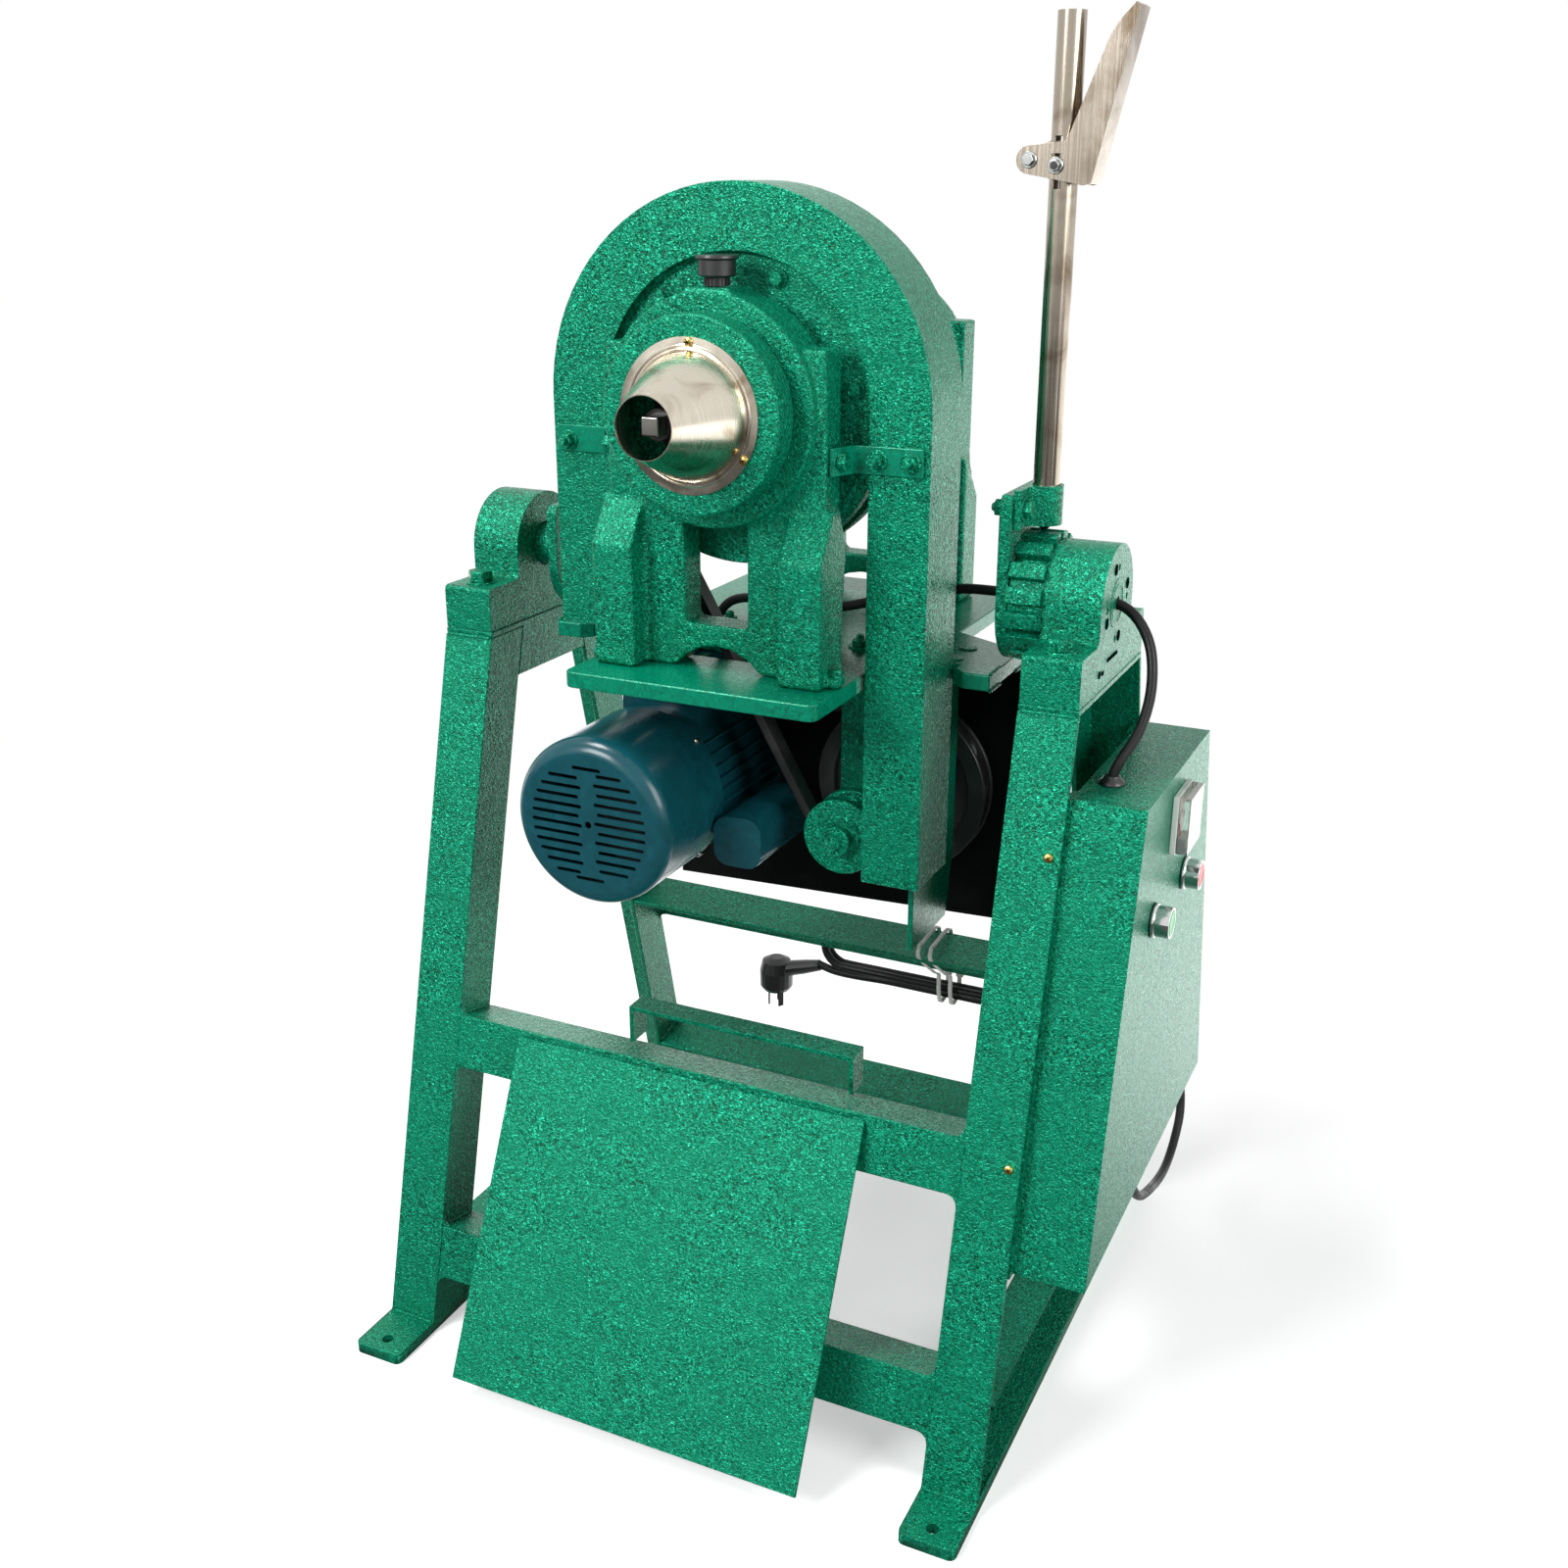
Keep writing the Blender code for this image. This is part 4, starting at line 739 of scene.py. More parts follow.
WHITE = grained("white_case", (226, 228, 224), (200, 203, 198), 900.0, coat=0.3, bump=0.04,
                depth=0.0001)
meter_low, meter_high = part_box("ammeter")
face_x = meter_low.x + 0.005
meter_mid = (meter_low + meter_high) / 2


def on_meter(x, outline):
    """An outline drawn round the meter's middle, at a depth."""
    return [(x, meter_mid.y + a, meter_mid.z + b) for a, b in outline]


base_slab = bmesh.new()
prism(base_slab, on_meter(meter_low.x, slab((-0.026, -0.026), (0.026, 0.026), 0.003)),
      X * 0.005, 0.0006, 2)
keep("meter_base", base_slab, "stand", WHITE, "white_plastic", ("ammeter",))

CARD = grained("dial_card", (236, 234, 222), (222, 219, 205), 700.0, rough=0.5, bump=0.02)
INK = grained("dial_ink", (24, 24, 26), (48, 48, 50), 900.0, rough=0.5, bump=0.02)
RED = grained("red_plastic", (206, 36, 34), (176, 26, 28), 900.0, coat=0.4, bump=0.05)
LENS_GREEN = grained("green_plastic", (36, 168, 92), (24, 138, 74), 900.0, coat=0.4, bump=0.05)

card = bmesh.new()
prism(card, on_meter(face_x + 0.0001, ((-0.0217, -0.0097), (0.0217, -0.0097),
                                       (0.0217, 0.0217), (-0.0217, 0.0217))), X * 0.0002)
keep("dial_card", card, "stand", CARD, "white_plastic", even=False)
hub = AT["needle_swing"]
dial_at = Vector((face_x + 0.00035, hub.y, hub.z))
ticks, arc_red = bmesh.new(), bmesh.new()
figures = []
for step in range(11):
    angle = math.radians(138 - 9.6 * step)
    long_mark = step % 5 == 0
    high = 0.03 if long_mark else 0.0285
    ray = Vector((0, math.cos(angle), math.sin(angle)))
    side_way = Vector((0, -math.sin(angle), math.cos(angle))) * 0.00022
    prism(ticks, [dial_at + ray * 0.0262 - side_way, dial_at + ray * high - side_way,
                  dial_at + ray * high + side_way, dial_at + ray * 0.0262 + side_way], X * 0.0001)
    if long_mark:
        figures.append((str(step), dial_at + ray * 0.0325))
for step in range(10):
    a, b = math.radians(138 - 9.6 * step), math.radians(138 - 9.6 * (step + 1))
    prism(ticks if step < 8 else arc_red,
          [dial_at + Vector((0, math.cos(t), math.sin(t))) * r
           for t, r in ((a, 0.0257), (a, 0.0263), (b, 0.0263), (b, 0.0257))], X * 0.0001)
keep("dial_ticks", ticks, "stand", INK, "black_plastic", even=False)
keep("dial_overload_arc", arc_red, "stand", RED, "red_plastic", even=False)
for figure, at in figures:
    label = bpy.data.curves.new("dial_figure_" + figure, "FONT")
    label.body = figure
    label.size = 0.0042
    label.align_x, label.align_y = "CENTER", "CENTER"
    label.extrude = 0.00005
    letters = show("dial_figure_" + figure, label)
    bpy.context.view_layer.update()
    flat = bpy.data.meshes.new_from_object(letters)
    bpy.data.objects.remove(letters)
    flat.transform(Matrix.Translation(at) @ Matrix.Rotation(math.radians(90), 4, "Z")
                   @ Matrix.Rotation(math.radians(90), 4, "X"))
    dress(flat, INK)
    shown = show("dial_figure_" + figure, flat)
    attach(shown, "stand")
dress(frame["nodes"]["ammeter_needle"].data, RED)
hood = bmesh.new()
prism(hood, on_meter(face_x + 0.0001, slab((-0.0232, -0.0232), (0.0232, -0.01), 0.0012, 2)),
      X * (meter_high.x - face_x - 0.0016), 0.0004, 1)
keep("meter_lower_band", hood, "stand", WHITE, "white_plastic")
GLASS = bpy.data.materials.new("clear_cover")
GLASS.use_nodes = True
glass_tree = GLASS.node_tree
glass_node = glass_tree.nodes.new("ShaderNodeGroup")
glass_node.node_tree = GRAIN
feed(glass_tree, glass_node, {"Shade": (1.0, 1.0, 1.0, 1.0), "Dust": (0.93, 0.93, 0.93, 1.0)})
feed(glass_tree, glass_tree.nodes["Principled BSDF"],
     {"Base Color": glass_node.outputs["Color"], "Roughness": 0.03,
      "Transmission Weight": 1.0, "IOR": 1.46})
window = bmesh.new()
prism(window, on_meter(face_x, slab((-0.0248, -0.0248), (0.0248, 0.0248), 0.0026)),
      X * (meter_high.x - face_x))
back_face = min(window.faces, key=lambda f: f.calc_center_median().x)
bmesh.ops.inset_region(window, faces=[back_face], thickness=0.0012)
grow(window, back_face, X * (meter_high.x - face_x - 0.0013))
keep("meter_window", window, "stand", GLASS, "clear_cover")
pivot = bmesh.new()
lathe(pivot, [(0, 0), (0.004, 0), (0.0038, 0.0016), (0.003, 0.0022), (0, 0.0024)],
      (face_x + 0.0035, hub.y, hub.z), X, 32)
keep("meter_pivot_cap", pivot, "stand", PLASTIC, "black_plastic")

# ---- Push buttons ---------------------------------------------------------------------------
# Chromed bezels screwed into the cover with a black seal, and sprung coloured heads.

CHROME = grained("chrome", (226, 226, 226), (196, 196, 196), 500.0, rough=0.1, metallic=1.0,
                 bump=0.02, depth=0.0001)
for name, joint, lens, slot in (("stop", "stop_press", RED, "red_plastic"),
                                ("start", "start_press", LENS_GREEN, "green_plastic")):
    low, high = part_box(name + "_bezel")
    middle = Vector((0, (low.y + high.y) / 2, (low.z + high.z) / 2))
    wall_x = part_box("control_box")[1].x
    bezel = bmesh.new()
    lathe(bezel, [(0.009, -0.014), (0.011, -0.014), (0.011, 0.0012), (0.0145, 0.0012),
                  (0.0147, 0.0016), (0.0147, 0.003), (0.0142, 0.0038), (0.0133, 0.0042),
                  (0.0132, 0.0154), (0.0129, 0.016), (0.0115, 0.016), (0.0112, 0.0157),
                  (0.0112, 0.004), (0.009, 0.004)], middle + X * wall_x, X, 64)
    keep(name + "_bezel_ring", bezel, "stand", CHROME, "chrome", (name + "_bezel",))
    seal = bmesh.new()
    lathe(seal, [(0.0111, 0.0002), (0.0149, 0.0002), (0.015, 0.0006), (0.0149, 0.0011),
                 (0.0111, 0.0011)], middle + X * wall_x, X, 64)
    keep(name + "_seal", seal, "stand", FLEX, "black_rubber")
    head = bmesh.new()
    lathe(head, [(0, -0.01), (0.0086, -0.01), (0.0086, 0.0075), (0.0106, 0.0075),
                 (0.0108, 0.0078), (0.0108, 0.0154), (0.0104, 0.0161), (0.0096, 0.0164),
                 (0.0085, 0.0158), (0, 0.0155)], middle + X * wall_x, X, 64)
    keep(name + "_head", head, name + "_push", lens, slot, (name + "_button",))

# ---- Leads ----------------------------------------------------------------------------------
# Black flexes from the control box through the right trunnion's hollow to the motor, with a
# rubber grommet where the first enters the box.

turned("box_grommet",
       [(0.0046, -0.005), (0.0078, -0.005), (0.0078, 0.0003), (0.0106, 0.0003), (0.0108, 0.0012),
        (0.01, 0.0032), (0.0074, 0.0052), (0.0062, 0.0074), (0.0048, 0.0078)],
       (0.32, -0.058, 0.5855), Z, 40, "stand", PLASTIC, "black_rubber", ("lead_grommet",))
cable("box_lead", [(0.2502, 0, 0.72), (0.272, 0, 0.72), (0.2995, 0, 0.7195),
                   (0.318, -0.003, 0.709), (0.332, -0.01, 0.687), (0.3375, -0.022, 0.656),
                   (0.3345, -0.038, 0.627), (0.325, -0.053, 0.606), (0.3203, -0.058, 0.593),
                   (0.32, -0.058, 0.584), (0.32, -0.058, 0.574)],
      0.0044, 120, "stand", FLEX, ("control_lead",))
cable("motor_flex", [(0.2498, 0, 0.72), (0.225, 0, 0.72), (0.2, 0, 0.7195),
                     (0.16, 0.002, 0.717), (0.1, 0.008, 0.702), (0.04, 0.018, 0.685),
                     (-0.025, 0.028, 0.683), (-0.07, 0.034, 0.676), (-0.089, 0.036, 0.652),
                     (-0.09, 0.036, 0.622), (-0.09, 0.036, 0.61)],
      0.0044, 120, "tilt_table", FLEX, ("motor_lead",))

# ---- Tilting table, swing plates and bearings below -----------------------------------------
# A 14 mm plate on two upright plates whose trunnions turn in the blocks. The countershaft's
# bearing and the guard's stay hang below it.

soften("table_plate", "tilt_table", SLEEK, 0.0014, 3)
for side in ("left", "right"):
    soften("swing_plate_" + side, "tilt_table", ENAMEL, 0.0009, 2)
soften("hanger_plate", "tilt_table", SLEEK, 0.0006, 2)
soften("counter_bearing", "tilt_table", ENAMEL, 0.0018, 3)
# A near-black sheet behind the drive under the table: partly a rear drive cover, partly painted
# shade for the deep shadow there.
SHADE_SHEET = grained("black_sheet_and_shade", (9, 12, 12), (16, 22, 20), 60.0, rough=0.6, bump=0.05, gloss=0.08)
shield = bmesh.new()
prism(shield, [(-0.16, 0.0885, 0.366), (0.204, 0.0885, 0.379), (0.204, 0.0885, 0.6455),
               (-0.16, 0.0885, 0.6455)], Y * 0.0018, 0.0004, 1)
prism(shield, [(-0.16, 0.0885, 0.6437), (0.204, 0.0885, 0.6437), (0.204, 0.0885, 0.6455),
               (-0.16, 0.0885, 0.6455)], Y * -0.015, 0.0004, 1)
settle("drive_shield_and_shade", shield, "tilt_table", SHADE_SHEET, "black_plastic", even=False)
plate_beads = bmesh.new()
for side in (-1, 1):
    for z in (0.6603, 0.6457):
        weld_bead(plate_beads, (side * 0.2095, -0.048, z), (side * 0.2095, -0.0205, z), 0.0018)
        weld_bead(plate_beads, (side * 0.2095, 0.0205, z), (side * 0.2095, 0.048, z), 0.0018)
close_ends(plate_beads)
settle("table_welds", plate_beads, "tilt_table", ENAMEL, even=False)

table_bolts = bmesh.new()
for x, y in ((0.165, -0.012), (0.165, 0.024), (-0.165, -0.012), (-0.165, 0.024)):
    lathe(table_bolts, [(0, -0.0004), (0.0085, -0.0004), (0.0085, 0.0008), (0.0076, 0.0014),
                        (0, 0.0014)], (x, y, 0.6601), Z, 32)
    fastener(table_bolts, (x, y, 0.6457), -Z, 0.013, 0.0055, 20, 0.0105)
for x, y in ((0.078, -0.012), (0.108, 0.03), (0.078, 0.03)):
    fastener(table_bolts, (x, y, 0.66), Z, 0.013, 0.0055, 8, 0.0105, 0.0045)
for x in (-0.118, -0.062):
    for y in (-0.06, 0.012):
        fastener(table_bolts, (x, y, 0.66), Z, 0.013, 0.0055, 33, 0.0105, 0.0045)
settle("table_fixings", table_bolts, "tilt_table", ENAMEL)

# ---- Bearing castings and grease cup --------------------------------------------------------
# Two iron castings, soft at every corner, carry the drum. The front one takes a black screw-down
# grease cup on its pad.


def casting(name, node, voxel, passes, body, extras=None):
    """A node remade in small even faces and smoothed as sand casting is."""
    bm = bmesh.new()
    bm.from_mesh(frame["nodes"][node].data)
    bmesh.ops.remove_doubles(bm, verts=bm.verts, dist=2e-5)
    if extras:
        extras(bm)
    mesh = bpy.data.meshes.new(name)
    bm.to_mesh(mesh)
    bm.free()
    rough = show("rough_" + name, mesh)
    skin = rough.modifiers.new("skin", "REMESH")
    skin.mode = "VOXEL"
    skin.voxel_size = voxel
    soft = rough.modifiers.new("soft", "SMOOTH")
    soft.factor = 0.5
    soft.iterations = passes
    made = baked(rough)
    bpy.data.objects.remove(rough)
    made.name = name
    made.shade_smooth()
    dress(made, ENAMEL)
    piece = show(name, made)
    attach(piece, body)
    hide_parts(node)
    return piece


def front_lugs(bm):
    """Bolt lugs cast at the foot of the front casting."""
    for side in (-1, 1):
        corners = [(0.095, -0.146), (0.1145, -0.1435), (0.1145, -0.1265), (0.095, -0.124)]
        prism(bm, [HOME + Vector((side * a, b, 0.6604)) for a, b in corners], Z * 0.009)


casting("front_casting", "front_housing", 0.002, 4, "tilt_table", front_lugs)
casting("rear_casting", "rear_housing", 0.0024, 3, "tilt_table")
feet = bmesh.new()
for side in (-1, 1):
    fastener(feet, (side * 0.1085, -0.135, 0.669), Z, 0.011, 0.006, 10)
    fastener(feet, (side * 0.085, 0.2185, 0.6604), Z, 0.011, 0.0065, 10, 0.009)
settle("casting_bolts", feet, "tilt_table", ENAMEL)

cup_at = AT["grease_turn"]
cup_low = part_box("grease_cup")[0]
cup = bmesh.new()
lathe(cup, [(0, 0.0002), (0.0095, 0.0002), (0.0095, 0.0062), (0.0138, 0.007),
            (0.0148, 0.0082), (0.0148, 0.0192), (0.0154, 0.0199), (0.0168, 0.0202),
            (0.0172, 0.0207), (0.0172, 0.0222), (0.0166, 0.023), (0.006, 0.023),
            (0.0052, 0.0226), (0, 0.0226)],
      (cup_at.x, cup_at.y, cup_low.z), Z, 72)
for rib in range(20):
    angle = math.radians(18 * rib)
    ray = Vector((math.cos(angle), math.sin(angle), 0))
    across = Vector((-math.sin(angle), math.cos(angle), 0)) * 0.0007
    at = Vector((cup_at.x, cup_at.y, cup_low.z + 0.0006))
    prism(cup, [at + ray * 0.009 - across, at + ray * 0.0106 - across * 0.6,
                at + ray * 0.0106 + across * 0.6, at + ray * 0.009 + across], Z * 0.0054)
keep("grease_cap_cup", cup, "grease_cap", PLASTIC, "black_plastic", ("grease_cup",), weld=1e-7)

# ---- Belt guard and straps ------------------------------------------------------------------
# A welded sheet cover round the drum's sheave, long on the right, stayed to the front casting
# by two bent flat straps.

soften("belt_guard", "tilt_table", ENAMEL, 0.0014, 3)
for side in ("left", "right"):
    soften("guard_strap_" + side, "tilt_table", SLEEK, 0.0007, 2)
strap_nuts = bmesh.new()
for x in (0.1275, 0.156):
    fastener(strap_nuts, (x, -0.1033, 0.838), -Y, 0.011, 0.0055, 12, 0.0088, 0.004)
fastener(strap_nuts, (-0.155, -0.1033, 0.836), -Y, 0.011, 0.0055, 25, 0.0088, 0.004)
for side in (-1, 1):
    fastener(strap_nuts, (side * 0.1008, -0.118, 0.838), X * side, 0.014, 0.007, 5, 0.01)
settle("strap_nuts", strap_nuts, "tilt_table", ENAMEL)
# The strap's slot is drawn as a flat dark patch of painted shade.
slot_mark = bmesh.new()
prism(slot_mark, [(-0.119, -0.1036, 0.831), (-0.112, -0.1036, 0.831),
                  (-0.112, -0.1036, 0.846), (-0.119, -0.1036, 0.846)], Y * 0.0004)
settle("strap_slot", slot_mark, "tilt_table", RECESS_SHADE, "hammered_green", even=False)
return_edge = bmesh.new()
prism(return_edge, [(-0.126, -0.1028, 0.78), (-0.108, -0.1028, 0.78),
                    (-0.108, -0.1028, 0.831), (-0.126, -0.1028, 0.831)], Y * 0.0005)
settle("guard_return_edge", return_edge, "tilt_table", ENAMEL, even=False)

# ---- Motor ----------------------------------------------------------------------------------
# A small foot-mounted motor in smooth blue-green enamel, hung under the table: finned barrel,
# capacitor case on its side and a deep drawn fan cover with two staggered columns of slots.

# The same effect at low contrast: its painted hollow shade and island highlight are faint here.
MOTOR_BLUE = painted("motor_blue", HAMMER,
                     {"Deep": tint(8, 56, 64), "Body": tint(12, 68, 77),
                      "Island_Highlight": tint(18, 80, 90), "Grain": 60.0, "Contrast": 0.5},
                     rough=0.24, coat=0.1, bump=0.03, depth=0.0006, gloss=0.3,
                     slot="motor_blue")
soften("motor", "tilt_table", MOTOR_BLUE, 0.0012, 3)
motor_at = Vector((-0.09, 0, 0.53))
fins = bmesh.new()
for fin in range(40):
    ray, across = spoke(9 * fin + 4.5), spoke(9 * fin + 94.5)
    if ray.z > 0.72:
        continue
    base = motor_at + Y * -0.0945
    prism(fins, [base + ray * 0.067 - across * 0.0015, base + ray * 0.0728 - across * 0.0009,
                 base + ray * 0.0734, base + ray * 0.0728 + across * 0.0009,
                 base + ray * 0.067 + across * 0.0015], Y * 0.1225)
settle("motor_fins", fins, "tilt_table", MOTOR_BLUE, even=False)

shell = bmesh.new()
front, back, radius, sheet, rim = -0.2, -0.096, 0.075, 0.0014, 0.015
bend = (radius - rim, front + rim)
outer = ([(0, front), (radius - rim - 0.004, front)] + round_points(bend, rim, -81, 0, 9)
         + [(radius, back)])
inner = ([(radius - sheet, back)] + round_points(bend, rim - sheet, 0, -90, 10)
         + [(0, front + sheet)])
lathe(shell, outer + inner, motor_at, Y, 96)
cover = settle("fan_cover", shell, "tilt_table", MOTOR_BLUE, stands_for=("motor_fan_cover",))
cover.modifiers.clear()
slots = bmesh.new()
spans = [(-0.014, 0.014, z) for z in (-0.05, 0.05)]
for row in range(-5, 6):
    for side in (-1, 1):
        z = row * 0.0086 + side * 0.002
        far = math.sqrt(0.056 ** 2 - z ** 2)
        low = 0.006 + 0.003 * (row % 2)
        spans.append((*sorted((side * low, side * far)), z))
for low, high, z in spans:
    prism(slots, [motor_at + Vector((a, front - 0.004, z + b)) for a, b in
                  slab((low, -0.0017), (high, 0.0017), 0.00168, 4)], Y * 0.009)
lathe(slots, [(0, -0.005), (0.0032, -0.005), (0.0032, 0.005), (0, 0.005)],
      motor_at + Y * front, Y, 24)
bmesh.ops.remove_doubles(slots, verts=slots.verts, dist=1e-7)
bmesh.ops.recalc_face_normals(slots, faces=slots.faces)
bmesh.ops.translate(slots, verts=slots.verts, vec=HOME)
punch_mesh = bpy.data.meshes.new("punch")
slots.to_mesh(punch_mesh)
slots.free()
punch = show("punch", punch_mesh)
hit = cover.modifiers.new("slots", "BOOLEAN")
hit.operation, hit.solver, hit.object = "DIFFERENCE", "EXACT", punch
pierced = baked(cover)
cover.modifiers.clear()
cover.data = pierced
bpy.data.objects.remove(punch)
ease = bmesh.new()
ease.from_mesh(pierced)
bmesh.ops.remove_doubles(ease, verts=ease.verts, dist=1e-6)
ease.to_mesh(pierced)
ease.free()
pierced.shade_smooth()
pierced.set_sharp_from_angle(angle=math.radians(38))
dress(pierced, MOTOR_BLUE)
level = cover.modifiers.new("even_light", "WEIGHTED_NORMAL")
level.keep_sharp = True
cover_screws = bmesh.new()
for turn in (45, 135, 225, 315):
    cross_screw(cover_screws, motor_at + spoke(turn) * 0.075 + Y * -0.102, spoke(turn), 0.0034)
settle("fan_cover_screws", cover_screws, "tilt_table", ZINC, "bright_steel")

# ---- Belts, sheaves and shafts --------------------------------------------------------------
# Two rubber V-belts drive the drum by way of a countershaft: cast sheaves, the big one behind
# in dark iron, the others sprayed green with the rest.

BELT = grained("belt_rubber", (26, 26, 26), (48, 47, 45), 420.0, bump=0.25, depth=0.0004)
for name in ("drum_belt", "motor_belt"):
    soften(name, "tilt_table", BELT, 0.0, slot="belt_rubber")
STEEL = grained("turned_steel", (166, 166, 162), (122, 118, 110), 500.0, rough=0.3, metallic=1.0,
                bump=0.06, depth=0.0001)
IRON = grained("dark_iron", (38, 42, 42), (58, 62, 60), 320.0, bump=0.2, depth=0.0004)

drum_at = Vector((0, 0, 0.873))
counter_at = Vector((0.093, 0, 0.51))
turned("drum_sheave_turned",
       [(0.0303, -0.092), (0.105, -0.092), (0.111, -0.0912), (0.117, -0.0912), (0.118, -0.092),
        (0.1292, -0.092), (0.13, -0.0912), (0.13, -0.0796), (0.1292, -0.0787), (0.119, -0.0781),
        (0.119, -0.0609), (0.1292, -0.0603), (0.13, -0.0594), (0.13, -0.0412), (0.1292, -0.0404),
        (0.0303, -0.0404)], drum_at, Y, 128, "drum", ENAMEL, stands_for=("drum_sheave",),
       crease=25)
sheave_bolts = bmesh.new()
for turn in range(6):
    fastener(sheave_bolts, drum_at + spoke(9.5 + 60 * turn) * 0.1055 - Y * 0.0918, -Y,
             0.01, 0.0058, 17 * turn, 0.0078)
settle("sheave_bolts", sheave_bolts, "drum", ENAMEL)

turned("counter_sheave",
       [(0.0103, -0.0885), (0.0186, -0.0885), (0.0192, -0.088), (0.0202, -0.0872),
        (0.0325, -0.0872), (0.0336, -0.0868), (0.034, -0.0858), (0.034, -0.0795),
        (0.033, -0.0787), (0.02, -0.0781), (0.02, -0.0609), (0.033, -0.0603), (0.034, -0.0594),
        (0.034, -0.0508), (0.0332, -0.05), (0.0103, -0.05)], counter_at, Y, 72, "counter", ENAMEL,
       stands_for=("small_sheave",), crease=25)
shaft_nut = bmesh.new()
lathe(shaft_nut, [(0.0102, -0.088), (0.0118, -0.088), (0.0118, -0.0967), (0.013, -0.0967),
                  (0.0134, -0.0971), (0.0134, -0.0984), (0.013, -0.0988), (0, -0.0988),
                  (0, -0.0968), (0.0102, -0.0968), (0.0102, -0.088)], counter_at, Y, 48)
fastener(shaft_nut, counter_at + Y * -0.0987, -Y, 0.013, 0.005, 15, 0.0, 0.002)
settle("counter_nut", shaft_nut, "counter", ENAMEL)
turned("large_sheave_turned",
       [(0.0103, 0.052), (0.024, 0.052), (0.025, 0.053), (0.026, 0.06), (0.029, 0.063),
        (0.064, 0.063), (0.0665, 0.061), (0.067, 0.055), (0.068, 0.054), (0.0822, 0.054),
        (0.083, 0.0548), (0.083, 0.0583), (0.0822, 0.059), (0.0733, 0.0595), (0.0733, 0.0745),
        (0.0822, 0.0757), (0.083, 0.0764), (0.083, 0.0792), (0.0822, 0.08), (0.0103, 0.08)],
       counter_at, Y, 128, "counter", IRON, "dark_steel", ("large_sheave",), 25)
for node, body, paint in (("countershaft", "counter", STEEL), ("motor_rotor", "rotor", IRON)):
    soften(node, body, paint, 0.0006, 2)

# ---- Drum, nose ring and feed cone ----------------------------------------------------------
# A rolled and welded conical drum on steel journals. In front of the casting sit a thick nose
# ring and a spun stainless cone, held by three brass screws, round the stopper's square head.

turned("drum_body",
       [(0.044, 0.1505), (0.046, 0.15), (0.119, 0.062), (0.12, 0.06), (0.12, -0.0392),
        (0.1192, -0.04), (0.0305, -0.04), (0.0305, -0.0344), (0.114, -0.034), (0.114, 0.0575),
        (0.04, 0.1445), (0.04, 0.15)], drum_at, Y, 128, "drum", ENAMEL, stands_for=("drum_shell",),
       crease=25)
journals = bmesh.new()
lathe(journals, [(0, 0.235), (0.024, 0.235), (0.025, 0.234), (0.025, 0.1535),
                 (0.0262, 0.152), (0.043, 0.1508), (0.043, 0.145), (0, 0.145)],
      drum_at, Y, 64)
lathe(journals, [(0.03, -0.0344), (0.03, -0.1736), (0.0292, -0.1744), (0.0226, -0.1744),
                 (0.022, -0.1738), (0.022, -0.0344)], drum_at, Y, 72)
settle("drum_journals", journals, "drum", STEEL, "bright_steel")
seam = bmesh.new()
seam_at = drum_at + spoke(129.5) * 0.1204
weld_bead(seam, seam_at + Y * -0.036, seam_at + Y * 0.056, 0.0009)
close_ends(seam)
settle("drum_seam", seam, "drum", ENAMEL, even=False)

turned("nose_ring_turned",
       [(0.0303, -0.175), (0.0752, -0.175), (0.0764, -0.1744), (0.077, -0.1732), (0.077, -0.1496),
        (0.0764, -0.1485), (0.0754, -0.148), (0.0303, -0.148)], drum_at, Y, 128, "drum", ENAMEL,
       stands_for=("nose_ring",), crease=25)

# Turned and spun stainless: fine rings round the part, with brownish handling stains.
SPUN, spun_in, spun_out = effect("spun_rings", ("Bright", "Stain"),
                                 {"Lay": (30.0, 1400.0, 30.0), "Stains": 26.0},
                                 ("Color", "Height", "Dull"))
spun_at = shade(SPUN, "TexCoord", {})["Object"]
spun_lay = shade(SPUN, "VectorMath", {0: spun_at, 1: spun_in.outputs["Lay"]}, "MULTIPLY")
spun_fine = noise(SPUN, spun_lay[0], 1.0, 3.0)
spun_blot = noise(SPUN, spun_at, spun_in.outputs["Stains"], 4.0, 0.8)
feed(SPUN, spun_out, {"Color": blend_colour(SPUN, spread(SPUN, spun_blot, 0.46, 0.74),
                                            spun_in.outputs["Bright"],
                                            spun_in.outputs["Stain"]),
                      "Height": spun_fine,
                      "Dull": spread(SPUN, spun_fine, 0.3, 0.7, 0.14, 0.3)})
CONE = painted("spun_stainless", SPUN,
               {"Bright": tint(214, 206, 190), "Stain": tint(158, 142, 118)},
               metallic=1.0, bump=0.1, depth=0.0002)
TUBE = painted("drawn_stainless", SPUN,
               {"Bright": tint(172, 162, 148), "Stain": tint(116, 100, 80),
                "Lay": (1100.0, 1100.0, 8.0), "Stains": 18.0},
               metallic=1.0, bump=0.1, depth=0.0002)

turned("feed_cone_spun",
       [(0.06, -0.1753), (0.0602, -0.1757), (0.06, -0.1765), (0.0545, -0.1768), (0.0535, -0.1776),
        (0.0525, -0.1776), (0.0516, -0.177), (0.0506, -0.1774), (0.0497, -0.1788),
        (0.044, -0.1936), (0.0246, -0.2443), (0.0243, -0.245), (0.0236, -0.245),
        (0.0234, -0.2443), (0.043, -0.1932), (0.0488, -0.1783), (0.05, -0.1762),
        (0.0515, -0.1753)], drum_at, Y, 128, "drum", CONE, "stainless", ("feed_cone",), 25)
cone_screws, cone_crosses = bmesh.new(), bmesh.new()
for turn in (88, 208, 328):
    at = drum_at + spoke(turn) * 0.0565 - Y * 0.1766
    cross_screw(cone_screws, at, -Y, 0.0038)
    cross_slots(cone_crosses, at, -Y, 0.0038)
settle("cone_screws", cone_screws, "drum", BRASS, "brass")
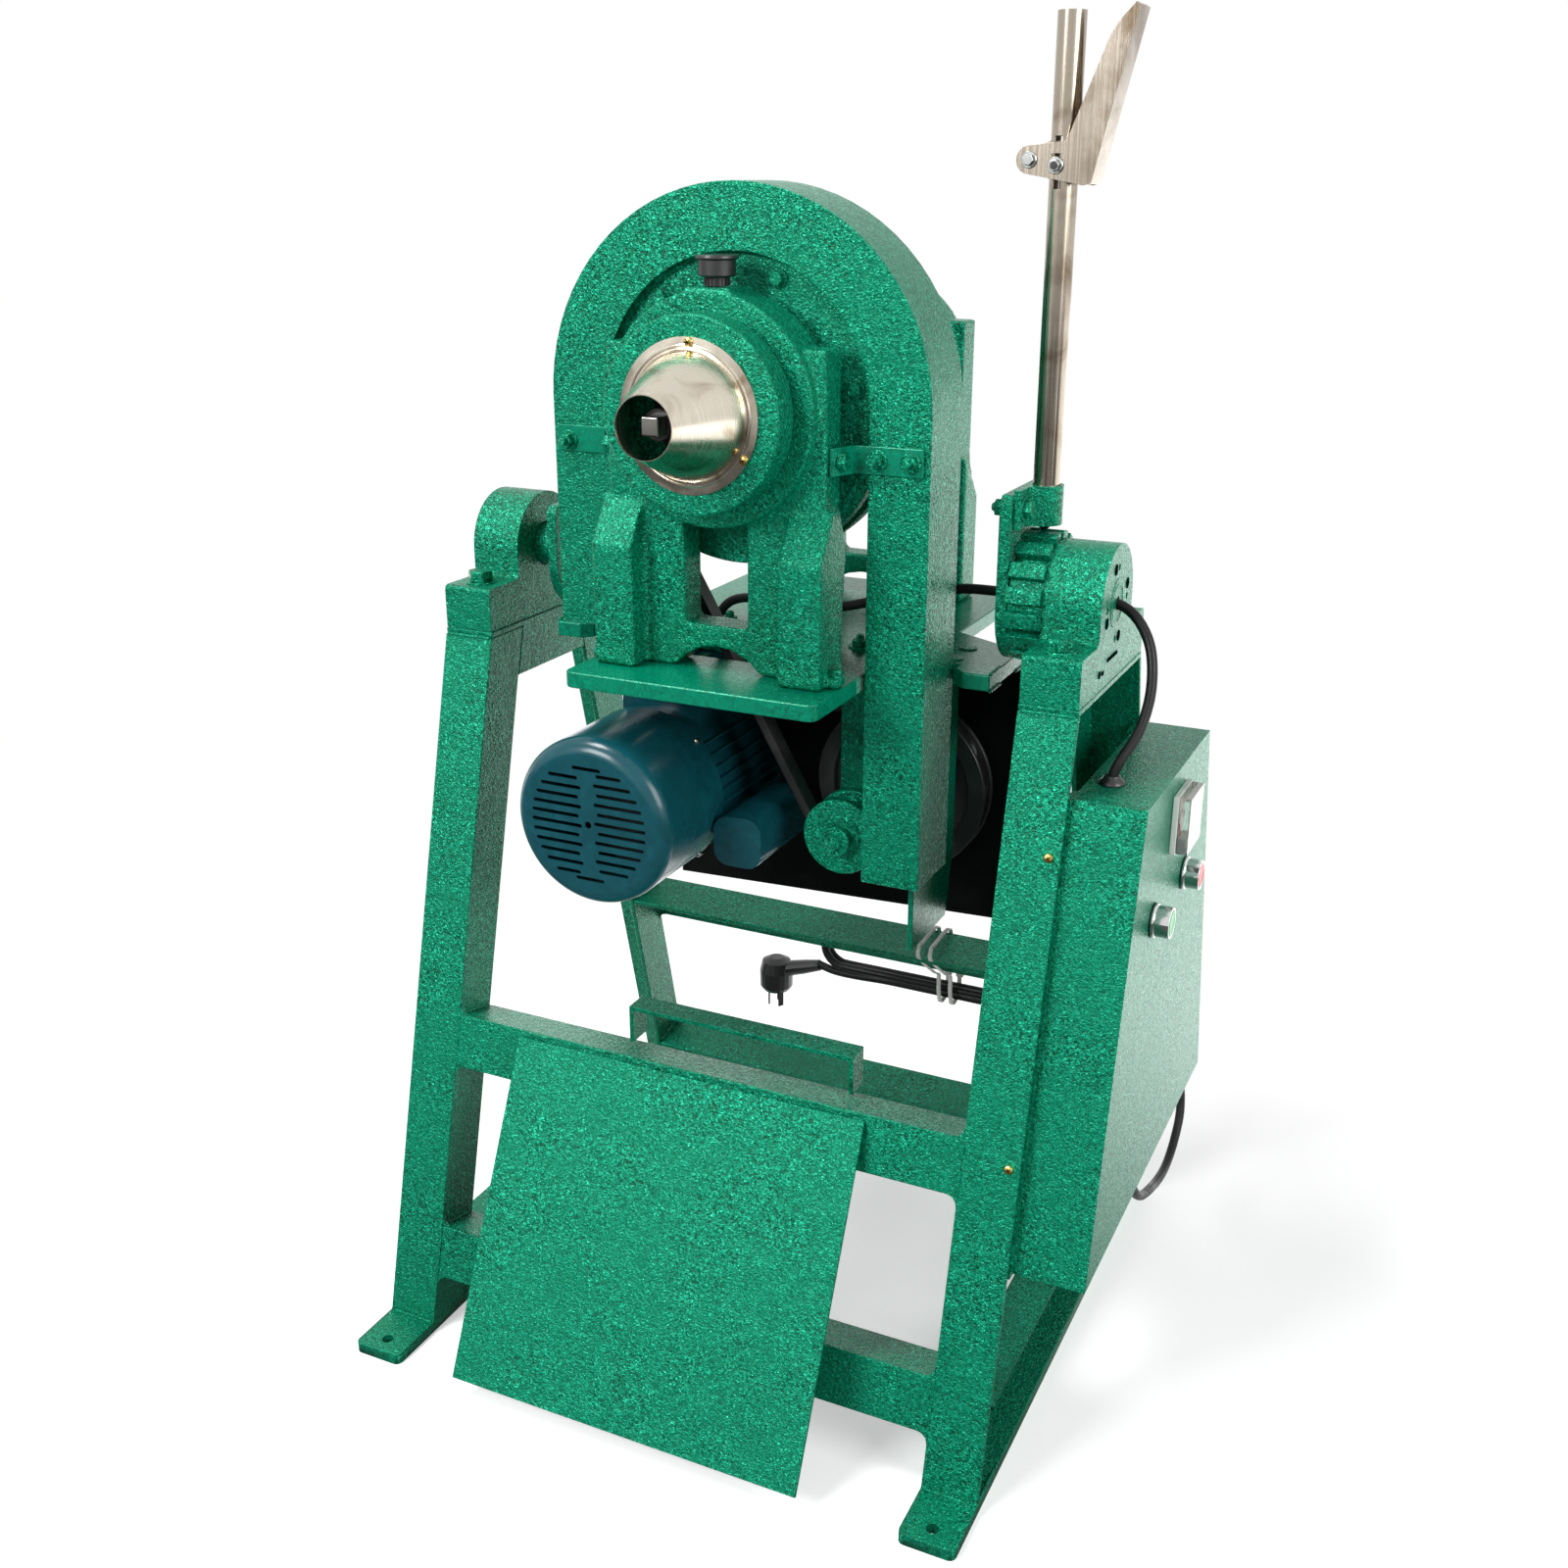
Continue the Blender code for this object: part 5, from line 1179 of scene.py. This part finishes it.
# The recesses are dark crosses of painted shade.
settle("cone_screw_slots", cone_crosses, "drum", RECESS_SHADE, "brass", even=False)

turned("stopper_body",
       [(0, -0.15), (0.0205, -0.15), (0.0215, -0.151), (0.0215, -0.194), (0.0208, -0.195),
        (0.0135, -0.1968), (0.0125, -0.198), (0.0125, -0.222), (0.0118, -0.223), (0, -0.223)],
       drum_at, Y, 64, "stopper", PLASTIC, "black_plastic", ("mouth_plug",), 25)
square = bmesh.new()
half = 0.0074
prism(square, [drum_at + Vector((a * half, -0.2228, b * half))
               for a, b in ((-1, -1), (1, -1), (1, 1), (-1, 1))], Y * -0.013, 0.0016, 3)
settle("stopper_head", square, "stopper", STEEL, "bright_steel")

# ---- Handle, squeeze lever and lock ---------------------------------------------------------
# A stainless tube clamped to the right swing plate. Squeezing the sheet lever draws the rod in
# the tube and lifts the black tapered pin out of the ring's notch.

soften("handle_tube", "tilt_table", TUBE, 0.0004, 2, slot="stainless", sharp=34)
soften("handle_clamp", "tilt_table", ENAMEL, 0.0006, 2, sharp=34)
soften("squeeze_lever", "lever", TUBE, 0.0004, 2, slot="stainless", sharp=34)
soften("lock_pin", "lock", PLASTIC, 0.0004, 2, slot="dark_steel", sharp=34)
clamp_bolt = bmesh.new()
fastener(clamp_bolt, (0.226, -0.03, 0.796), X, 0.013, 0.006, 8, 0.0105)
fastener(clamp_bolt, (0.2098, -0.03, 0.796), -X, 0.013, 0.006, 8, 0.0105, 0.003)
settle("clamp_bolt", clamp_bolt, "tilt_table", ENAMEL)
pivot_bolt, link_bolt = bmesh.new(), bmesh.new()
for side in (-1, 1):
    fastener(pivot_bolt, (0.211, side * 0.0146, 1.059), Y * side, 0.008, 0.0034, 20, 0.0062)
    fastener(link_bolt, (0.232, side * 0.015, 1.055), Y * side, 0.008, 0.0034, 40, 0.0062)
settle("lever_pivot_bolt", pivot_bolt, "lever", ZINC, "bright_steel")
settle("lever_link_bolt", link_bolt, "lock", ZINC, "bright_steel")

# ---- Plug at the cord's end -----------------------------------------------------------------
# Black moulded plug with flat brass pins, its cable sleeve at the side.

dress(frame["nodes"]["mains_plug"].data, PLASTIC)
